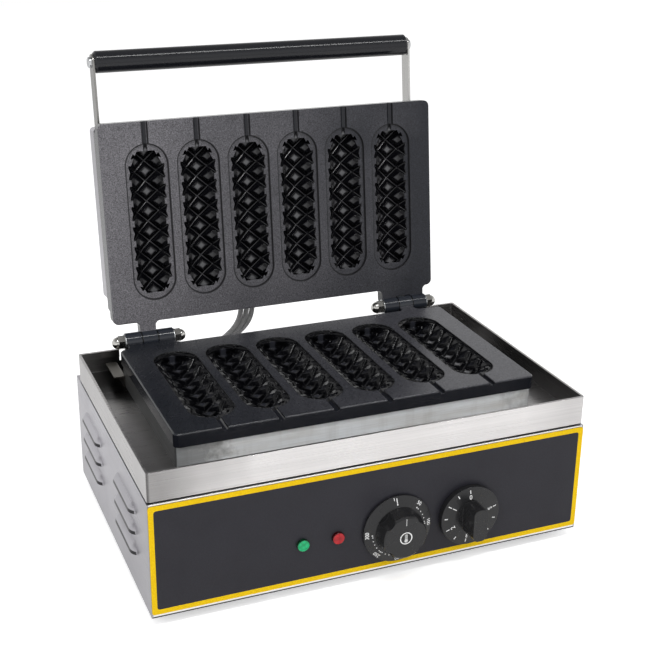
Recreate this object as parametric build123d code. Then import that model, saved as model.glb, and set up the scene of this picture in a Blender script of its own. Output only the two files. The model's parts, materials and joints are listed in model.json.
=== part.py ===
from build123d import *
import os
from math import cos, radians, sin, tan

# A countertop maker for waffles on sticks: a stainless body with a drip tray, a fixed lower
# plate, and an upper plate in a lid that stands open on its hinge stops.
# Millimetres, +X to the right, +Y away from the user, +Z up.

# General sheet work, fits and overruns
sheet = 1.2
cover_sheet = 1.0
overrun = 2.0
running_gap = 0.06
fastener_gap = 0.05
seat_gap = 0.1
side_gap = 0.4

# Body box, built round the plates, with its feet below it
plate_side_room = 35.7
plate_setback = 36.4
plate_rear_room = 48.6
body_height = 112.8
ledge_width = 12.0
rear_ledge_width = 28.0
foot_height = 10.0
foot_radius = 12.0
foot_inset_x = 39.0
foot_inset_y = 26.0
foot_screw_radius = 2.5
foot_screw_head_radius = 5.0
foot_screw_head = 3.0
foot_screw_length = 12.0
foot_well = 5.0
foot_edge = 2.0

# Drip tray on top of the body
tray_side_setback = 0.5
tray_front_setback = 1.4
tray_back_setback = 14.0
tray_rise = 29.5
tray_floor_rise = 7.4
tray_corner = 2.5
hem_depth = 8.0
hem_thick = 2.4
notch_inset = 42.5
notch_floor_rise = 9.0
undercut = 0.8
undercut_height = 1.4

# Cast plates: one pattern, used below and, turned over, above
plate_depth = 202.5
plate_side_margin = 19.7
plate_corner = 6.0
plate_edge = 1.2
flange_thick = 13.0
floor_thick = 18.0
skirt_depth = 30.0
skirt_wall = 5.0
skirt_hinge_inset = 6.5
skirt_hinge_wall = 17.5
skirt_handle_inset = 6.5
lower_skirt_inset = 4.2
upper_skirt_inset = 1.8
parting_gap = 0.3

# Cavities for the sticks of batter, on the cooking face
pit_count = 6
pit_pitch = 53.2
pit_rib = 9.2
pit_end_margin = 22.0
pit_ledge = 2.0
stick_radius = 3.25
trough_margin = 5.5
trough_end_margin = 7.25
trough_depth = 9.5
channel_margin = 3.4
channel_end_margin = 5.55
channel_depth = 13.5
channel_bottom = 1.6
channel_rise = 6.0
channel_flare = 4.7
channel_knee_share = 0.54
lattice_pitch = 20.4
end_chamfer_x = 7.5
end_chamfer_y = 15.0

# Hinges: three knuckles on a pin, at each end of the back edge
hinge_reach = 18.2
hinge_inset = 35.3
knuckle_radius = 9.0
knuckle_length = 16.2
knuckle_clearance = 0.8
lug_root = 8.0
lug_fillet = 4.8
lug_slope = 8.0
heel_reach = 15.0
heel_half = 8.5
stop_gap = 0.3
open_angle = 97.1
pin_radius = 4.0
pin_end = 9.0
washer_radius = 8.0
washer_thick = 1.2
nut_flats = 13.0
nut_height = 6.5
nut_dome = 6.2

# Heaters behind the plates
element_radius = 3.5
element_edge_room = 35.25
element_end_room = 37.3
element_leg_room = 51.3
element_inner_room = 74.3
element_turn_straight = 2.0
element_leg_radius = 12.0
lower_leg_depth = 50.0
upper_leg_depth = 41.0
upper_pad_depth = 36.0
clamp_width = 12.0
clamp_thick = 2.0
clamp_end = 8.0
clamp_screw_radius = 2.0
clamp_screw_grip = 6.0
clamp_head_radius = 4.0
clamp_head = 2.4
pad_side_inset = 29.3
pad_inset = 2.0
pad_gap = 0.5
leg_clearance = 1.0

# Stand-offs and studs in the side bays of the castings
bay_inset = 18.3
bay_first = 40.0
bay_last_room = 62.5
stud_radius = 3.0
stud_grip = 8.0
stud_below_floor = 9.0
stud_nut_flats = 10.0
stud_nut_height = 5.0
standoff_radius = 4.5
cover_screw_radius = 2.0
cover_screw_grip = 12.0
cover_head_radius = 4.0
cover_head = 2.6

# Lid cover and handle
cover_depth = 48.0
cover_hinge_inset = 20.0
cover_handle_inset = 6.5
cover_corner = 4.0
arm_thick = 2.0
arm_width = 16.0
arm_inset = 7.0
arm_reach = 57.5
arm_slot_gap = 0.5
foot_tab_width = 16.0
foot_tab_length = 36.0
arm_pad_width = 18.5
arm_pad_length = 41.0
arm_screw_radius = 2.0
arm_screw_grip = 9.0
arm_screw_head_radius = 4.0
arm_screw_head = 2.4
arm_screw_inset = 8.0
grip_radius = 11.0
grip_end_gap = 0.2
grip_chamfer = 2.0
handle_rod_radius = 5.0
handle_screw_radius = 3.0
handle_screw_grip = 14.0
handle_head_radius = 5.5
handle_head = 3.5

# Plinth under the lower plate, and its clip on the tray floor
plinth_height = 22.0
plinth_inset = 1.5
plinth_foot = 10.0
clip_width = 11.0
clip_length = 38.0
clip_rise = 12.0
clip_leaf = 1.5
clip_start = 13.0

# Louvres in the side walls
louvre_length = 72.0
louvre_pitch = 21.0
louvre_rows = 3
louvre_lift = 2.8
louvre_back_room = 70.75
louvre_front_room = 80.75
louvre_bulge = 5.0
louvre_height = 9.0

# Front panel, fascia and controls
front_return = 10.0
fascia_thick = 0.8
fascia_side_margin = 0.3
fascia_bottom = 3.5
fascia_top_margin = 1.6
fascia_corner = 2.5
stripe_width = 4.8
stripe_depth = 0.3
control_height = 42.7
lamp_height = 44.5
thermostat_x = 18.5
dial_spacing = 9.5
lamp_spacing = 24.5
lamp_pitch = 34.3
lamp_radius = 6.0
lamp_proud = 3.2
lamp_edge = 1.0
lamp_body_radius = 5.2
lamp_body_length = 22.0
lamp_hole = 5.4
shaft_radius = 3.0
bush_radius = 5.0
nut_ring_radius = 8.0
nut_ring_thick = 2.5
thermostat_body_width = 46.0
thermostat_body_height = 36.0
thermostat_body_depth = 28.0
timer_body_width = 50.0
timer_body_height = 50.0
timer_body_depth = 34.0
dial_gap = 1.0
thermostat_dial_radius = 34.2
thermostat_dial_thick = 2.0
thermostat_dial_bevel = 3.2
thermostat_cap_base = 24.0
thermostat_cap_top = 21.6
thermostat_cap_proud = 21.5
scallop_count = 4
scallop_radius = 9.0
scallop_depth = 2.4
cap_edge = 1.5
timer_dial_radius = 30.3
timer_dial_thick = 5.5
timer_dial_bevel = 1.5
timer_ring = 17.0
timer_grip_width = 17.5
timer_grip_base = 15.5
timer_grip_face = 16.5
timer_proud = 27.0
grip_edge = 1.5
shaft_in_knob = 13.0

# Temperature probe of the thermostat
bulb_radius = 3.4
bulb_length = 80.0
bulb_end_x = 10.0
capillary_radius = 1.0
capillary_bend = 8.0

# Rear of the body, and the leads to the lid
gland_room = 75.0
gland_height = 30.0
gland_radius = 9.0
gland_nut_radius = 12.0
gland_nut_thick = 6.0
gland_bore = 4.5
gland_inner = 8.0
gland_outer = 22.0
block_room = 97.0
block_length = 60.0
block_width = 22.0
block_height = 20.0
lead_count = 3
lead_radius = 2.4
lead_pitch = 6.4
lead_bend_share = 0.45
grommet_margin = 2.6
grommet_lip = 1.6
grommet_flange = 2.0
lid_lead_x = -24.0
lid_lead_depth = 39.0
base_lead_x = -84.0
base_lead_drop = 38.6
wire_radius = 1.5
wire_row = 30.0
gather_room = 53.75
supply_level = 36.0
supply_offset = 10.0
return_level = 46.0
return_end_x = 33.0
rear_leg_end_x = 0.0
rear_leg_level = 57.0
front_leg_end_x = 8.0
front_leg_level = 52.0
lid_wire_level = 33.0
green_end_x = -1.0
green_turn_room = 45.75
green_end_level = 28.0
red_end_x = 5.0
red_turn_room = 36.25

# Fasteners of the body
body_screw_radius = 1.9
body_screw_head_radius = 3.8
body_screw_head = 2.2
body_screw_grip = 7.0
side_screw_y = 30.0
end_screw_x = 100.0
tray_foot = 10.0
foot_nut_flats = 8.0
foot_nut_height = 3.5
control_screw_radius = 1.9
control_screw_head_radius = 3.5
control_screw_offset = 14.0
control_screw_length = 8.0
terminal_screw_offset = 24.0
terminal_screw_radius = 1.9
terminal_screw_head = 2.0
terminal_head_radius = 3.6
vent_slot_length = 50.0
vent_slot_width = 5.0
vent_slot_count = 6
vent_slot_pitch = 12.0

# Places that follow from the sizes above
plate_width = pit_count * pit_pitch + 2 * plate_side_margin
half_plate = plate_width / 2
body_width = plate_width + 2 * plate_side_room
body_depth = plate_setback + plate_depth + plate_rear_room
half_width = body_width / 2
half_depth = body_depth / 2
notch_half_width = half_width - notch_inset
pit_length = plate_depth - 2 * pit_end_margin
pit_width = pit_pitch - pit_rib
trough_half_width = pit_width / 2 - trough_margin
trough_half_length = pit_length / 2 - trough_end_margin
channel_half_width = pit_width / 2 - channel_margin
channel_half_length = pit_length / 2 - channel_end_margin
lattice_half_cell = pit_width / 4
hinge_offset = half_plate - hinge_inset
element_row_pitch = (plate_depth - 2 * element_edge_room) / 3
element_turn_radius = element_row_pitch / 2 - element_turn_straight
element_half_length = half_plate - element_end_room
element_leg_x = element_leg_room - half_plate
element_inner_turn_x = element_inner_room - half_plate
pad_half_width = half_plate - pad_side_inset
bay_x = half_plate - bay_inset
bay_second = plate_depth - bay_last_room
arm_outer_x = half_plate - arm_inset
louvre_height_centre = body_height / 2 + louvre_lift
louvre_back_y = half_depth - louvre_back_room
louvre_front_y = louvre_front_room - half_depth
fascia_width = body_width - 2 * fascia_side_margin
fascia_top = body_height - fascia_top_margin
timer_x = thermostat_x + thermostat_dial_radius + dial_spacing + timer_dial_radius
red_lamp_x = thermostat_x - thermostat_dial_radius - lamp_spacing
green_lamp_x = red_lamp_x - lamp_pitch
bulb_row_offset = element_row_pitch / 4
gland_x = half_width - gland_room
block_x = half_width - block_room
base_lead_height = body_height - base_lead_drop
gather_y = gather_room - half_depth
green_turn_y = green_turn_room - half_depth
red_turn_y = red_turn_room - half_depth
tray_top = body_height + tray_rise
tray_floor = body_height + tray_floor_rise
hinge_y = -half_depth + plate_setback + plate_depth + hinge_reach
hinge_z = tray_floor + plinth_height + flange_thick + parting_gap / 2
axis_rise = parting_gap / 2
knuckle_step = knuckle_length + side_gap
hinge_span = 3 * knuckle_length + 2 * side_gap
arm_depth_low = cover_depth - cover_sheet - seat_gap - arm_width
arm_depth_mid = arm_depth_low + arm_width / 2
handle_s = plate_depth + arm_reach
element_z = -(floor_thick + seat_gap + element_radius)
clamp_z = -(floor_thick + 2 * seat_gap + 2 * element_radius)
pad_top = clamp_z - clamp_thick - clamp_head - pad_gap


def block(x0, x1, y0, y1, z0, z1):
    """Box between two corners."""
    middle = Pos((x0 + x1) / 2, (y0 + y1) / 2, (z0 + z1) / 2)
    return middle * Box(abs(x1 - x0), abs(y1 - y0), abs(z1 - z0))


def rod_x(radius, x0, x1, y, z):
    return Pos((x0 + x1) / 2, y, z) * Rot(0, 90, 0) * Cylinder(radius, abs(x1 - x0))


def rod_y(radius, y0, y1, x, z):
    return Pos(x, (y0 + y1) / 2, z) * Rot(90, 0, 0) * Cylinder(radius, abs(y1 - y0))


def rod_z(radius, z0, z1, x, y):
    return Pos(x, y, (z0 + z1) / 2) * Cylinder(radius, abs(z1 - z0))


def slab(width, depth, radius, z0, z1, y=0.0):
    """Upright prism with rounded vertical corners, centred on X and on y."""
    outline = RectangleRounded(width, depth, radius)
    return Pos(0, y, min(z0, z1)) * extrude(outline, abs(z1 - z0))


def hexagon(flats, z0, z1):
    return Pos(0, 0, z0) * extrude(RegularPolygon(flats / 2, 6, major_radius=False), z1 - z0)


def tube(points, radii, radius):
    """Round bar along straight runs joined by tangent arcs."""
    path = FilletPolyline(*points, radius=radii)
    profile = Plane(origin=path @ 0, z_dir=path % 0) * Circle(radius)
    return sweep(profile, path=path)


def along(s):
    """Y in a plate's own frame at the distance s from its hinge edge."""
    return -(hinge_reach + s)


def lower(shape):
    """From a plate's own frame, hinge axis at y 0, to the fixed lower place."""
    return Pos(0, hinge_y, hinge_z - axis_rise) * shape


def upper(shape):
    """From a plate's own frame to the lid's place, turned over and swung open."""
    turned_over = Rot(-open_angle, 0, 0) * Rot(0, 180, 0) * Pos(0, 0, -axis_rise)
    return Pos(0, hinge_y, hinge_z) * turned_over * shape


# Cavity

def end_cut_outline(half_width_x, half_length_y):
    """Long outline with its four corners cut off."""
    x, y = half_width_x, half_length_y
    inner_x, inner_y = x - end_chamfer_x, y - end_chamfer_y
    points = [(-inner_x, -y), (inner_x, -y), (x, -inner_y), (x, inner_y),
              (inner_x, y), (-inner_x, y), (-x, inner_y), (-x, -inner_y)]
    return make_face(Polyline(*points, close=True))


def floor_radius(half_width_x, depth):
    """Radius of a round floor that meets the ledge at half_width_x and lies at depth in the middle."""
    rise = depth - pit_ledge
    return (half_width_x ** 2 + rise ** 2) / (2 * rise)


def trough():
    """Long hollow over the tops of the studs, with a round floor and upright ends."""
    prism = extrude(end_cut_outline(trough_half_width, trough_half_length), -trough_depth)
    radius = floor_radius(trough_half_width, trough_depth)
    return prism & rod_y(radius, -trough_half_length, trough_half_length, 0, radius - trough_depth)


def channel_point(x, side):
    """Point on the bottom of a channel that crosses the cavity slantwise."""
    radius = floor_radius(channel_half_width, channel_depth)
    z = radius - channel_depth - (radius ** 2 - x ** 2) ** 0.5
    return Vector(x, side * x / lattice_half_cell * lattice_pitch / 2, z)


def channel_run(start, end):
    """Straight piece of a channel with a narrow bottom and sloping sides."""
    way = end - start
    base = channel_bottom / 2
    top = base + channel_flare
    corners = [(-base, 0), (base, 0), (top, channel_rise), (-top, channel_rise)]
    section = make_face(Polyline(*corners, close=True))
    plane = Plane(origin=start, x_dir=(-way.Y, way.X, 0), z_dir=(way.X, way.Y, 0))
    return extrude(plane * section, amount=way.length, dir=way)


def channel(side):
    knee = channel_knee_share * channel_half_width
    places = [channel_point(x, side) for x in (-channel_half_width, -knee, 0, knee, channel_half_width)]
    return Part() + [channel_run(start, end) for start, end in zip(places, places[1:])]


def cavity():
    """Everything that is taken out of a plate for one stick of batter, centred on its middle."""
    stadium = SlotOverall(pit_length, pit_width, rotation=90)
    ledge = Pos(0, 0, -pit_ledge) * extrude(stadium, pit_ledge + overrun)
    reach = int(channel_half_length / lattice_pitch) + 1
    crossing = [channel(-1), channel(1)]
    lattice = Part() + [Pos(0, k * lattice_pitch, 0) * shape
                        for k in range(-reach, reach + 1) for shape in crossing]
    outline = end_cut_outline(channel_half_width, channel_half_length)
    lattice = lattice & extrude(outline, -channel_depth - overrun)
    return ledge + trough() + lattice


# Cast plate in its own frame: cooking face up at z 0, hinge axis along X above y 0

def lug_outline():
    """Plate outline with a wide lug on the left and a narrow one on the right."""
    middle = along(plate_depth / 2)
    plate = Pos(0, middle) * RectangleRounded(plate_width, plate_depth, plate_corner)
    lug_length = hinge_reach + lug_root
    wide = Pos(-hinge_offset, -lug_length / 2) * Rectangle(hinge_span, lug_length)
    narrow = Pos(hinge_offset, -lug_length / 2) * Rectangle(knuckle_length, lug_length)
    return plate + wide + narrow


def knuckle(x):
    return rod_x(knuckle_radius, x - knuckle_length / 2, x + knuckle_length / 2, 0, axis_rise)


def casting(skirt_inset, with_arm_pads):
    """One cooking plate with its hinge knuckles, skirt and pocket for the heater."""
    body = Pos(0, 0, -flange_thick) * extrude(lug_outline(), flange_thick)
    roots = [e for e in body.edges().filter_by(Axis.Z) if abs(e.center().Y - along(0)) < plate_edge
             and abs(e.center().X) < plate_width / 2 - plate_corner - plate_edge]
    body = fillet(roots, lug_fillet)
    rim = [e for e in body.faces().sort_by(Axis.Z)[-1].edges()
           if e.center().Y < along(plate_corner) or abs(e.center().X) > plate_width / 2 - plate_corner]
    body = chamfer(rim, plate_edge)
    wedge_points = [(overrun, -knuckle_radius), (overrun, -flange_thick - overrun),
                    (-lug_slope - overrun / 2, -flange_thick - overrun), (0, -knuckle_radius)]
    wedge = extrude(Plane.YZ * make_face(Polyline(*wedge_points, close=True)), plate_width / 2, both=True)
    body = body - wedge

    skirt_width = plate_width - 2 * skirt_inset
    skirt_length = plate_depth - skirt_hinge_inset - skirt_handle_inset
    skirt_mid = along(skirt_hinge_inset + skirt_length / 2)
    body = body + slab(skirt_width, skirt_length, plate_corner, -flange_thick, -skirt_depth, skirt_mid)
    pocket_low = skirt_hinge_inset + skirt_hinge_wall
    pocket_high = plate_depth - skirt_handle_inset - skirt_wall
    pocket_half = plate_width / 2 - lower_skirt_inset - skirt_wall
    body = body - block(-pocket_half, pocket_half, along(pocket_low), along(pocket_high),
                        -floor_thick, -skirt_depth - overrun)
    if with_arm_pads:
        for side in (-1, 1):
            body = body + block(side * pocket_half, side * (pocket_half - arm_pad_width), along(pocket_high),
                                along(pocket_high - arm_pad_length), -floor_thick, -skirt_depth)
            for s in arm_screw_places():
                body = body - rod_z(arm_screw_radius + fastener_gap, -skirt_depth - overrun,
                                    -skirt_depth + arm_screw_grip, side * arm_screw_x(), along(s))

    left, right = -hinge_offset, hinge_offset
    for x in (left - knuckle_step, left + knuckle_step, right):
        body = body + knuckle(x)
    body = body + block(right - knuckle_length / 2, right + knuckle_length / 2, 0, heel_reach,
                        axis_rise, axis_rise + heel_half)
    half_slot = knuckle_length / 2 + side_gap
    heel_room = block(left - half_slot, left + half_slot, -heel_half, heel_reach + overrun,
                      -heel_half - stop_gap, heel_reach)
    body = body - Pos(0, 0, axis_rise) * Rot(-open_angle, 0, 0) * heel_room
    body = body - rod_x(knuckle_radius + knuckle_clearance, left - half_slot, left + half_slot, 0, axis_rise)
    for x in (left, right):
        body = body - rod_x(pin_radius + running_gap, x - hinge_span, x + hinge_span, 0, axis_rise)

    for place in clamp_screw_places():
        body = body - rod_z(clamp_screw_radius + fastener_gap, -floor_thick - overrun,
                            -floor_thick + clamp_screw_grip, *place)
    for x, y in bay_places():
        body = body - rod_z(stud_radius + fastener_gap, -floor_thick - overrun,
                            -floor_thick + stud_grip, x, y)

    hollow = cavity()
    middle_y = along(plate_depth / 2)
    for i in range(pit_count):
        x = (i - (pit_count - 1) / 2) * pit_pitch
        body = body - Pos(x, middle_y, 0) * hollow
        groove_end = along(plate_depth / 2 + pit_length / 2 - pit_width / 4)
        body = body - rod_y(stick_radius, along(plate_depth) - overrun, groove_end, x, axis_rise)
    return body


def clamp_rows():
    """Distances from the hinge edge at which the heater is clamped, between its rows."""
    return [plate_depth / 2 + k * element_row_pitch for k in (-1, 0, 1)]


def clamp_screw_places():
    return [(x, along(s)) for x in (-pit_pitch, pit_pitch) for s in clamp_rows()]


def bay_places():
    return [(x, along(s)) for x in (-bay_x, bay_x) for s in (bay_first, bay_second)]


# Heaters, clamps and insulation, in the plate's own frame

def element_rows():
    return [along(plate_depth / 2 + k * element_row_pitch / 2) for k in (-3, -1, 1, 3)]


def heating_element(leg_depth):
    """Tubular heater in four rows, with both ends turned away from the plate."""
    y1, y2, y3, y4 = element_rows()
    x_leg, x_in, x_out, z = element_leg_x, element_inner_turn_x, element_half_length, element_z
    points = [(x_leg, y1, -leg_depth), (x_leg, y1, z), (x_out, y1, z), (x_out, y2, z), (x_in, y2, z),
              (x_in, y3, z), (x_out, y3, z), (x_out, y4, z), (x_leg, y4, z), (x_leg, y4, -leg_depth)]
    radii = [element_leg_radius] + [element_turn_radius] * 6 + [element_leg_radius]
    return tube(points, radii, element_radius)


def leg_places():
    rows = element_rows()
    return [(element_leg_x, rows[0]), (element_leg_x, rows[-1])]


def clamp_bars():
    rows = element_rows()
    bars = []
    for x in (-pit_pitch, pit_pitch):
        bar = block(x - clamp_width / 2, x + clamp_width / 2, rows[0] + clamp_end, rows[-1] - clamp_end,
                    clamp_z, clamp_z - clamp_thick)
        for s in clamp_rows():
            bar = bar - rod_z(clamp_screw_radius + fastener_gap, clamp_z + overrun,
                              clamp_z - clamp_thick - overrun, x, along(s))
        bars.append(bar)
    return bars


def clamp_screws():
    head_top = clamp_z - clamp_thick
    return [rod_z(clamp_screw_radius, head_top, -floor_thick + clamp_screw_grip - seat_gap, *place)
            + rod_z(clamp_head_radius, head_top - clamp_head, head_top, *place)
            for place in clamp_screw_places()]


def insulation_pad(bottom):
    low = skirt_hinge_inset + skirt_hinge_wall + pad_inset
    high = plate_depth - skirt_handle_inset - skirt_wall - pad_inset
    pad = block(-pad_half_width, pad_half_width, along(low), along(high), pad_top, bottom)
    for place in leg_places():
        pad = pad - rod_z(element_radius + leg_clearance, pad_top + overrun, bottom - overrun, *place)
    return pad


# Lid parts, in the plate's own frame, so depth into the lid is -z

def cover_bounds():
    half = plate_width / 2 - upper_skirt_inset
    return half, along(cover_hinge_inset), along(plate_depth - cover_handle_inset)


def lid_cover():
    """Shallow stainless pan over the back of the upper plate, slotted for the handle arms."""
    half, y_hinge, y_handle = cover_bounds()
    depth = y_hinge - y_handle
    mid = (y_hinge + y_handle) / 2
    outer = slab(2 * half, depth, cover_corner, -skirt_depth - seat_gap, -cover_depth, mid)
    inner = slab(2 * half - 2 * cover_sheet, depth - 2 * cover_sheet, cover_corner - cover_sheet,
                 -skirt_depth + overrun, -cover_depth + cover_sheet, mid)
    pan = outer - inner
    for side in (-1, 1):
        inside = arm_outer_x - arm_thick - arm_slot_gap
        pan = pan - block(side * inside, side * (arm_outer_x + arm_slot_gap), y_handle - overrun,
                          y_handle + 2 * cover_sheet, -skirt_depth + overrun, -cover_depth + cover_sheet)
    for x, y in bay_places():
        pan = pan - rod_z(cover_screw_radius + fastener_gap, -cover_depth - overrun,
                          -cover_depth + overrun, x, y)
    return pan - lead_slot(grommet_half_height() + seat_gap).moved(lid_grommet_place())


def cover_standoffs():
    """Pillars from the casting floor to the cover, drilled at both ends, with a spigot in the floor."""
    pillars = []
    for x, y in bay_places():
        pillar = rod_z(standoff_radius, -floor_thick, -cover_depth + cover_sheet, x, y)
        pillar = pillar + rod_z(stud_radius, -floor_thick, -floor_thick + stud_grip - seat_gap, x, y)
        pillars.append(pillar - rod_z(cover_screw_radius + fastener_gap, -cover_depth,
                                      -cover_depth + cover_sheet + cover_screw_grip, x, y))
    return pillars


def cover_screws():
    tip = -cover_depth + cover_sheet + cover_screw_grip - seat_gap
    return [rod_z(cover_screw_radius, -cover_depth, tip, x, y)
            + rod_z(cover_head_radius, -cover_depth - cover_head, -cover_depth, x, y)
            for x, y in bay_places()]


def arm_screw_places():
    """Distances from the hinge edge of the screws in an arm's foot."""
    far = plate_depth - skirt_handle_inset - skirt_wall - arm_screw_inset
    return [far, far - foot_tab_length + 2 * arm_screw_inset]


def arm_screw_x():
    return arm_outer_x - foot_tab_width / 2 - arm_thick / 2


def handle_arm(side):
    """Flat strip from the plate to the handle, with a foot turned inwards at its lower end."""
    z_high, z_low = -arm_depth_low, -arm_depth_low - arm_width
    inner_x = arm_outer_x - arm_thick
    end_s = plate_depth - skirt_handle_inset - skirt_wall
    start_s = end_s - foot_tab_length
    strip = block(side * inner_x, side * arm_outer_x, along(start_s), along(handle_s), z_high, z_low)
    strip = strip + rod_x(arm_width / 2, side * inner_x, side * arm_outer_x, along(handle_s), -arm_depth_mid)
    foot = block(side * (arm_outer_x - foot_tab_width), side * arm_outer_x, along(start_s), along(end_s),
                 -skirt_depth, -skirt_depth - arm_thick)
    arm = strip + block(side * inner_x, side * arm_outer_x, along(start_s), along(end_s),
                        -skirt_depth, z_high) + foot
    arm = arm - rod_x(handle_screw_radius + fastener_gap, side * (inner_x - overrun),
                      side * (arm_outer_x + overrun), along(handle_s), -arm_depth_mid)
    for s in arm_screw_places():
        arm = arm - rod_z(arm_screw_radius + fastener_gap, -skirt_depth + overrun,
                          -skirt_depth - arm_thick - overrun, side * arm_screw_x(), along(s))
    return arm


def arm_screws():
    top = -skirt_depth - arm_thick
    tip = -skirt_depth + arm_screw_grip - seat_gap
    return [rod_z(arm_screw_radius, top, tip, side * arm_screw_x(), along(s))
            + rod_z(arm_screw_head_radius, top, top - arm_screw_head, side * arm_screw_x(), along(s))
            for side in (-1, 1) for s in arm_screw_places()]


def handle_grip():
    half = arm_outer_x - arm_thick - grip_end_gap
    grip = rod_x(grip_radius, -half, half, along(handle_s), -arm_depth_mid)
    grip = chamfer(grip.edges().filter_by(GeomType.CIRCLE), grip_chamfer)
    return grip - rod_x(handle_rod_radius + fastener_gap, -half - overrun, half + overrun,
                        along(handle_s), -arm_depth_mid)


def handle_rod():
    half = arm_outer_x - arm_thick - grip_end_gap / 2
    y, z = along(handle_s), -arm_depth_mid
    rod = rod_x(handle_rod_radius, -half, half, y, z)
    for side in (-1, 1):
        rod = rod - rod_x(handle_screw_radius + fastener_gap, side * (half - handle_screw_grip),
                          side * (half + overrun), y, z)
    return rod


def handle_screws():
    y, z = along(handle_s), -arm_depth_mid
    tip = arm_outer_x - arm_thick - handle_screw_grip + seat_gap
    screws = []
    for side in (-1, 1):
        head = rod_x(handle_head_radius, side * arm_outer_x, side * (arm_outer_x + handle_head), y, z)
        head = fillet(head.edges().group_by(Axis.X)[0 if side < 0 else -1], handle_head / 2)
        screws.append(head + rod_x(handle_screw_radius, side * tip, side * arm_outer_x, y, z))
    return screws


# Hinge hardware, in the plate's own frame

def hinge_pin(x):
    half = hinge_span / 2 + washer_thick + pin_end
    return rod_x(pin_radius, x - half, x + half, 0, axis_rise)


def hinge_ends():
    """Outer faces of each hinge, with the direction away from it."""
    return [(x + side * hinge_span / 2, side) for x in (-hinge_offset, hinge_offset) for side in (-1, 1)]


def hinge_washers():
    return [rod_x(washer_radius, x, x + side * washer_thick, 0, axis_rise)
            - rod_x(pin_radius + fastener_gap, x - side * overrun, x + side * (washer_thick + overrun),
                    0, axis_rise)
            for x, side in hinge_ends()]


def acorn_nut(x, side):
    nut = hexagon(nut_flats, 0, nut_height) + Pos(0, 0, nut_height) * Sphere(nut_dome)
    below = block(-nut_flats, nut_flats, -nut_flats, nut_flats, -nut_flats, 0)
    nut = nut - below - rod_z(pin_radius + fastener_gap, -overrun, pin_end + seat_gap, 0, 0)
    return Pos(x + side * washer_thick, 0, axis_rise) * Rot(0, side * 90, 0) * nut


# Body of the appliance

def louvre_places():
    return [(y, louvre_height_centre + (k - (louvre_rows - 1) / 2) * louvre_pitch)
            for y in (louvre_back_y, louvre_front_y) for k in range(louvre_rows)]


def capsule(radius, length, x, z):
    """Bar along Y with round ends, centred on y 0."""
    straight = length / 2 - radius
    bar = rod_y(radius, -straight, straight, x, z)
    for end in (-straight, straight):
        bar = bar + Pos(x, end, z) * Sphere(radius)
    return bar


def louvre(side):
    """Pressed hood, open downwards, and the hollow behind it."""
    outer_radius = (louvre_height ** 2 + louvre_bulge ** 2) / (2 * louvre_bulge)
    x = side * (half_width + louvre_bulge - outer_radius)
    length = louvre_length + 2 * (outer_radius - louvre_height)
    upper_half = block(side * (half_width - 2 * sheet), side * (half_width + louvre_bulge + overrun),
                       -louvre_length, louvre_length, 0, louvre_height + overrun)
    hood = capsule(outer_radius, length, x, 0) & upper_half
    hollow = capsule(outer_radius - sheet, length - 2 * sheet, x, 0) & upper_half
    return hood, hollow


def housing_shell():
    """Left, rear and right walls with the ledge that carries the tray and a turned-in foot."""
    outer = block(-half_width, half_width, -half_depth, half_depth, 0, body_height)
    inner = block(-half_width + sheet, half_width - sheet, -half_depth - overrun, half_depth - sheet,
                  sheet, body_height - sheet)
    shell = outer - inner
    for low, high, rear in ((-overrun, body_height / 2, ledge_width),
                            (body_height / 2, body_height + overrun, rear_ledge_width)):
        shell = shell - block(-half_width + ledge_width, half_width - ledge_width, -half_depth - overrun,
                              half_depth - rear, low, high)
    shell = shell - block(-half_width + sheet, half_width - sheet, -half_depth - overrun,
                          -half_depth + sheet, -overrun, body_height + overrun)
    for side in (-1, 1):
        hood, hollow = louvre(side)
        for y, z in louvre_places():
            shell = shell + hood.moved(Pos(0, y, z))
        for y, z in louvre_places():
            shell = shell - hollow.moved(Pos(0, y, z))
    shell = shell - rod_y(gland_radius + seat_gap, half_depth - 2 * sheet, half_depth + overrun,
                          gland_x, gland_height)
    shell = shell - lead_slot(grommet_half_height() + seat_gap).moved(base_grommet_place())
    shell = shell - screw_holes(body_screw_places(), -overrun, overrun)
    return shell - screw_holes(tray_screw_places(), body_height - overrun, body_height + overrun)


def front_panel():
    """Front wall of the body, with returns at its top and bottom."""
    x = half_width - sheet - seat_gap
    y0, y1 = -half_depth, -half_depth + sheet
    panel = block(-x, x, y0, y1, 0, body_height)
    inner_x = half_width - ledge_width - seat_gap
    for z0, z1 in ((0, sheet), (body_height - sheet, body_height)):
        panel = panel + block(-inner_x, inner_x, y0, y0 + front_return, z0, z1)
    panel = panel - screw_holes(body_screw_places(), -overrun, overrun)
    panel = panel - screw_holes(tray_screw_places(), body_height - overrun, body_height + overrun)
    for x, z in control_screw_places():
        panel = panel - rod_y(control_screw_radius + fastener_gap, y0 - overrun, y1 + overrun, x, z)
    return panel - control_holes(y0 - overrun, y1 + overrun)


def control_holes(y0, y1):
    holes = [rod_y(bush_radius + fastener_gap, y0, y1, x, control_height) for x in (thermostat_x, timer_x)]
    holes += [rod_y(lamp_hole, y0, y1, x, lamp_height) for x in (green_lamp_x, red_lamp_x)]
    return Part() + holes


def facing_front(x, y, z):
    """Plane that looks towards the user, with its own X to the right."""
    return Plane(origin=(x, y, z), x_dir=(1, 0, 0), z_dir=(0, -1, 0))


def fascia_outline(margin):
    height = fascia_top - fascia_bottom
    outline = RectangleRounded(fascia_width - 2 * margin, height - 2 * margin, fascia_corner)
    return facing_front(0, -half_depth, (fascia_top + fascia_bottom) / 2) * outline


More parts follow.
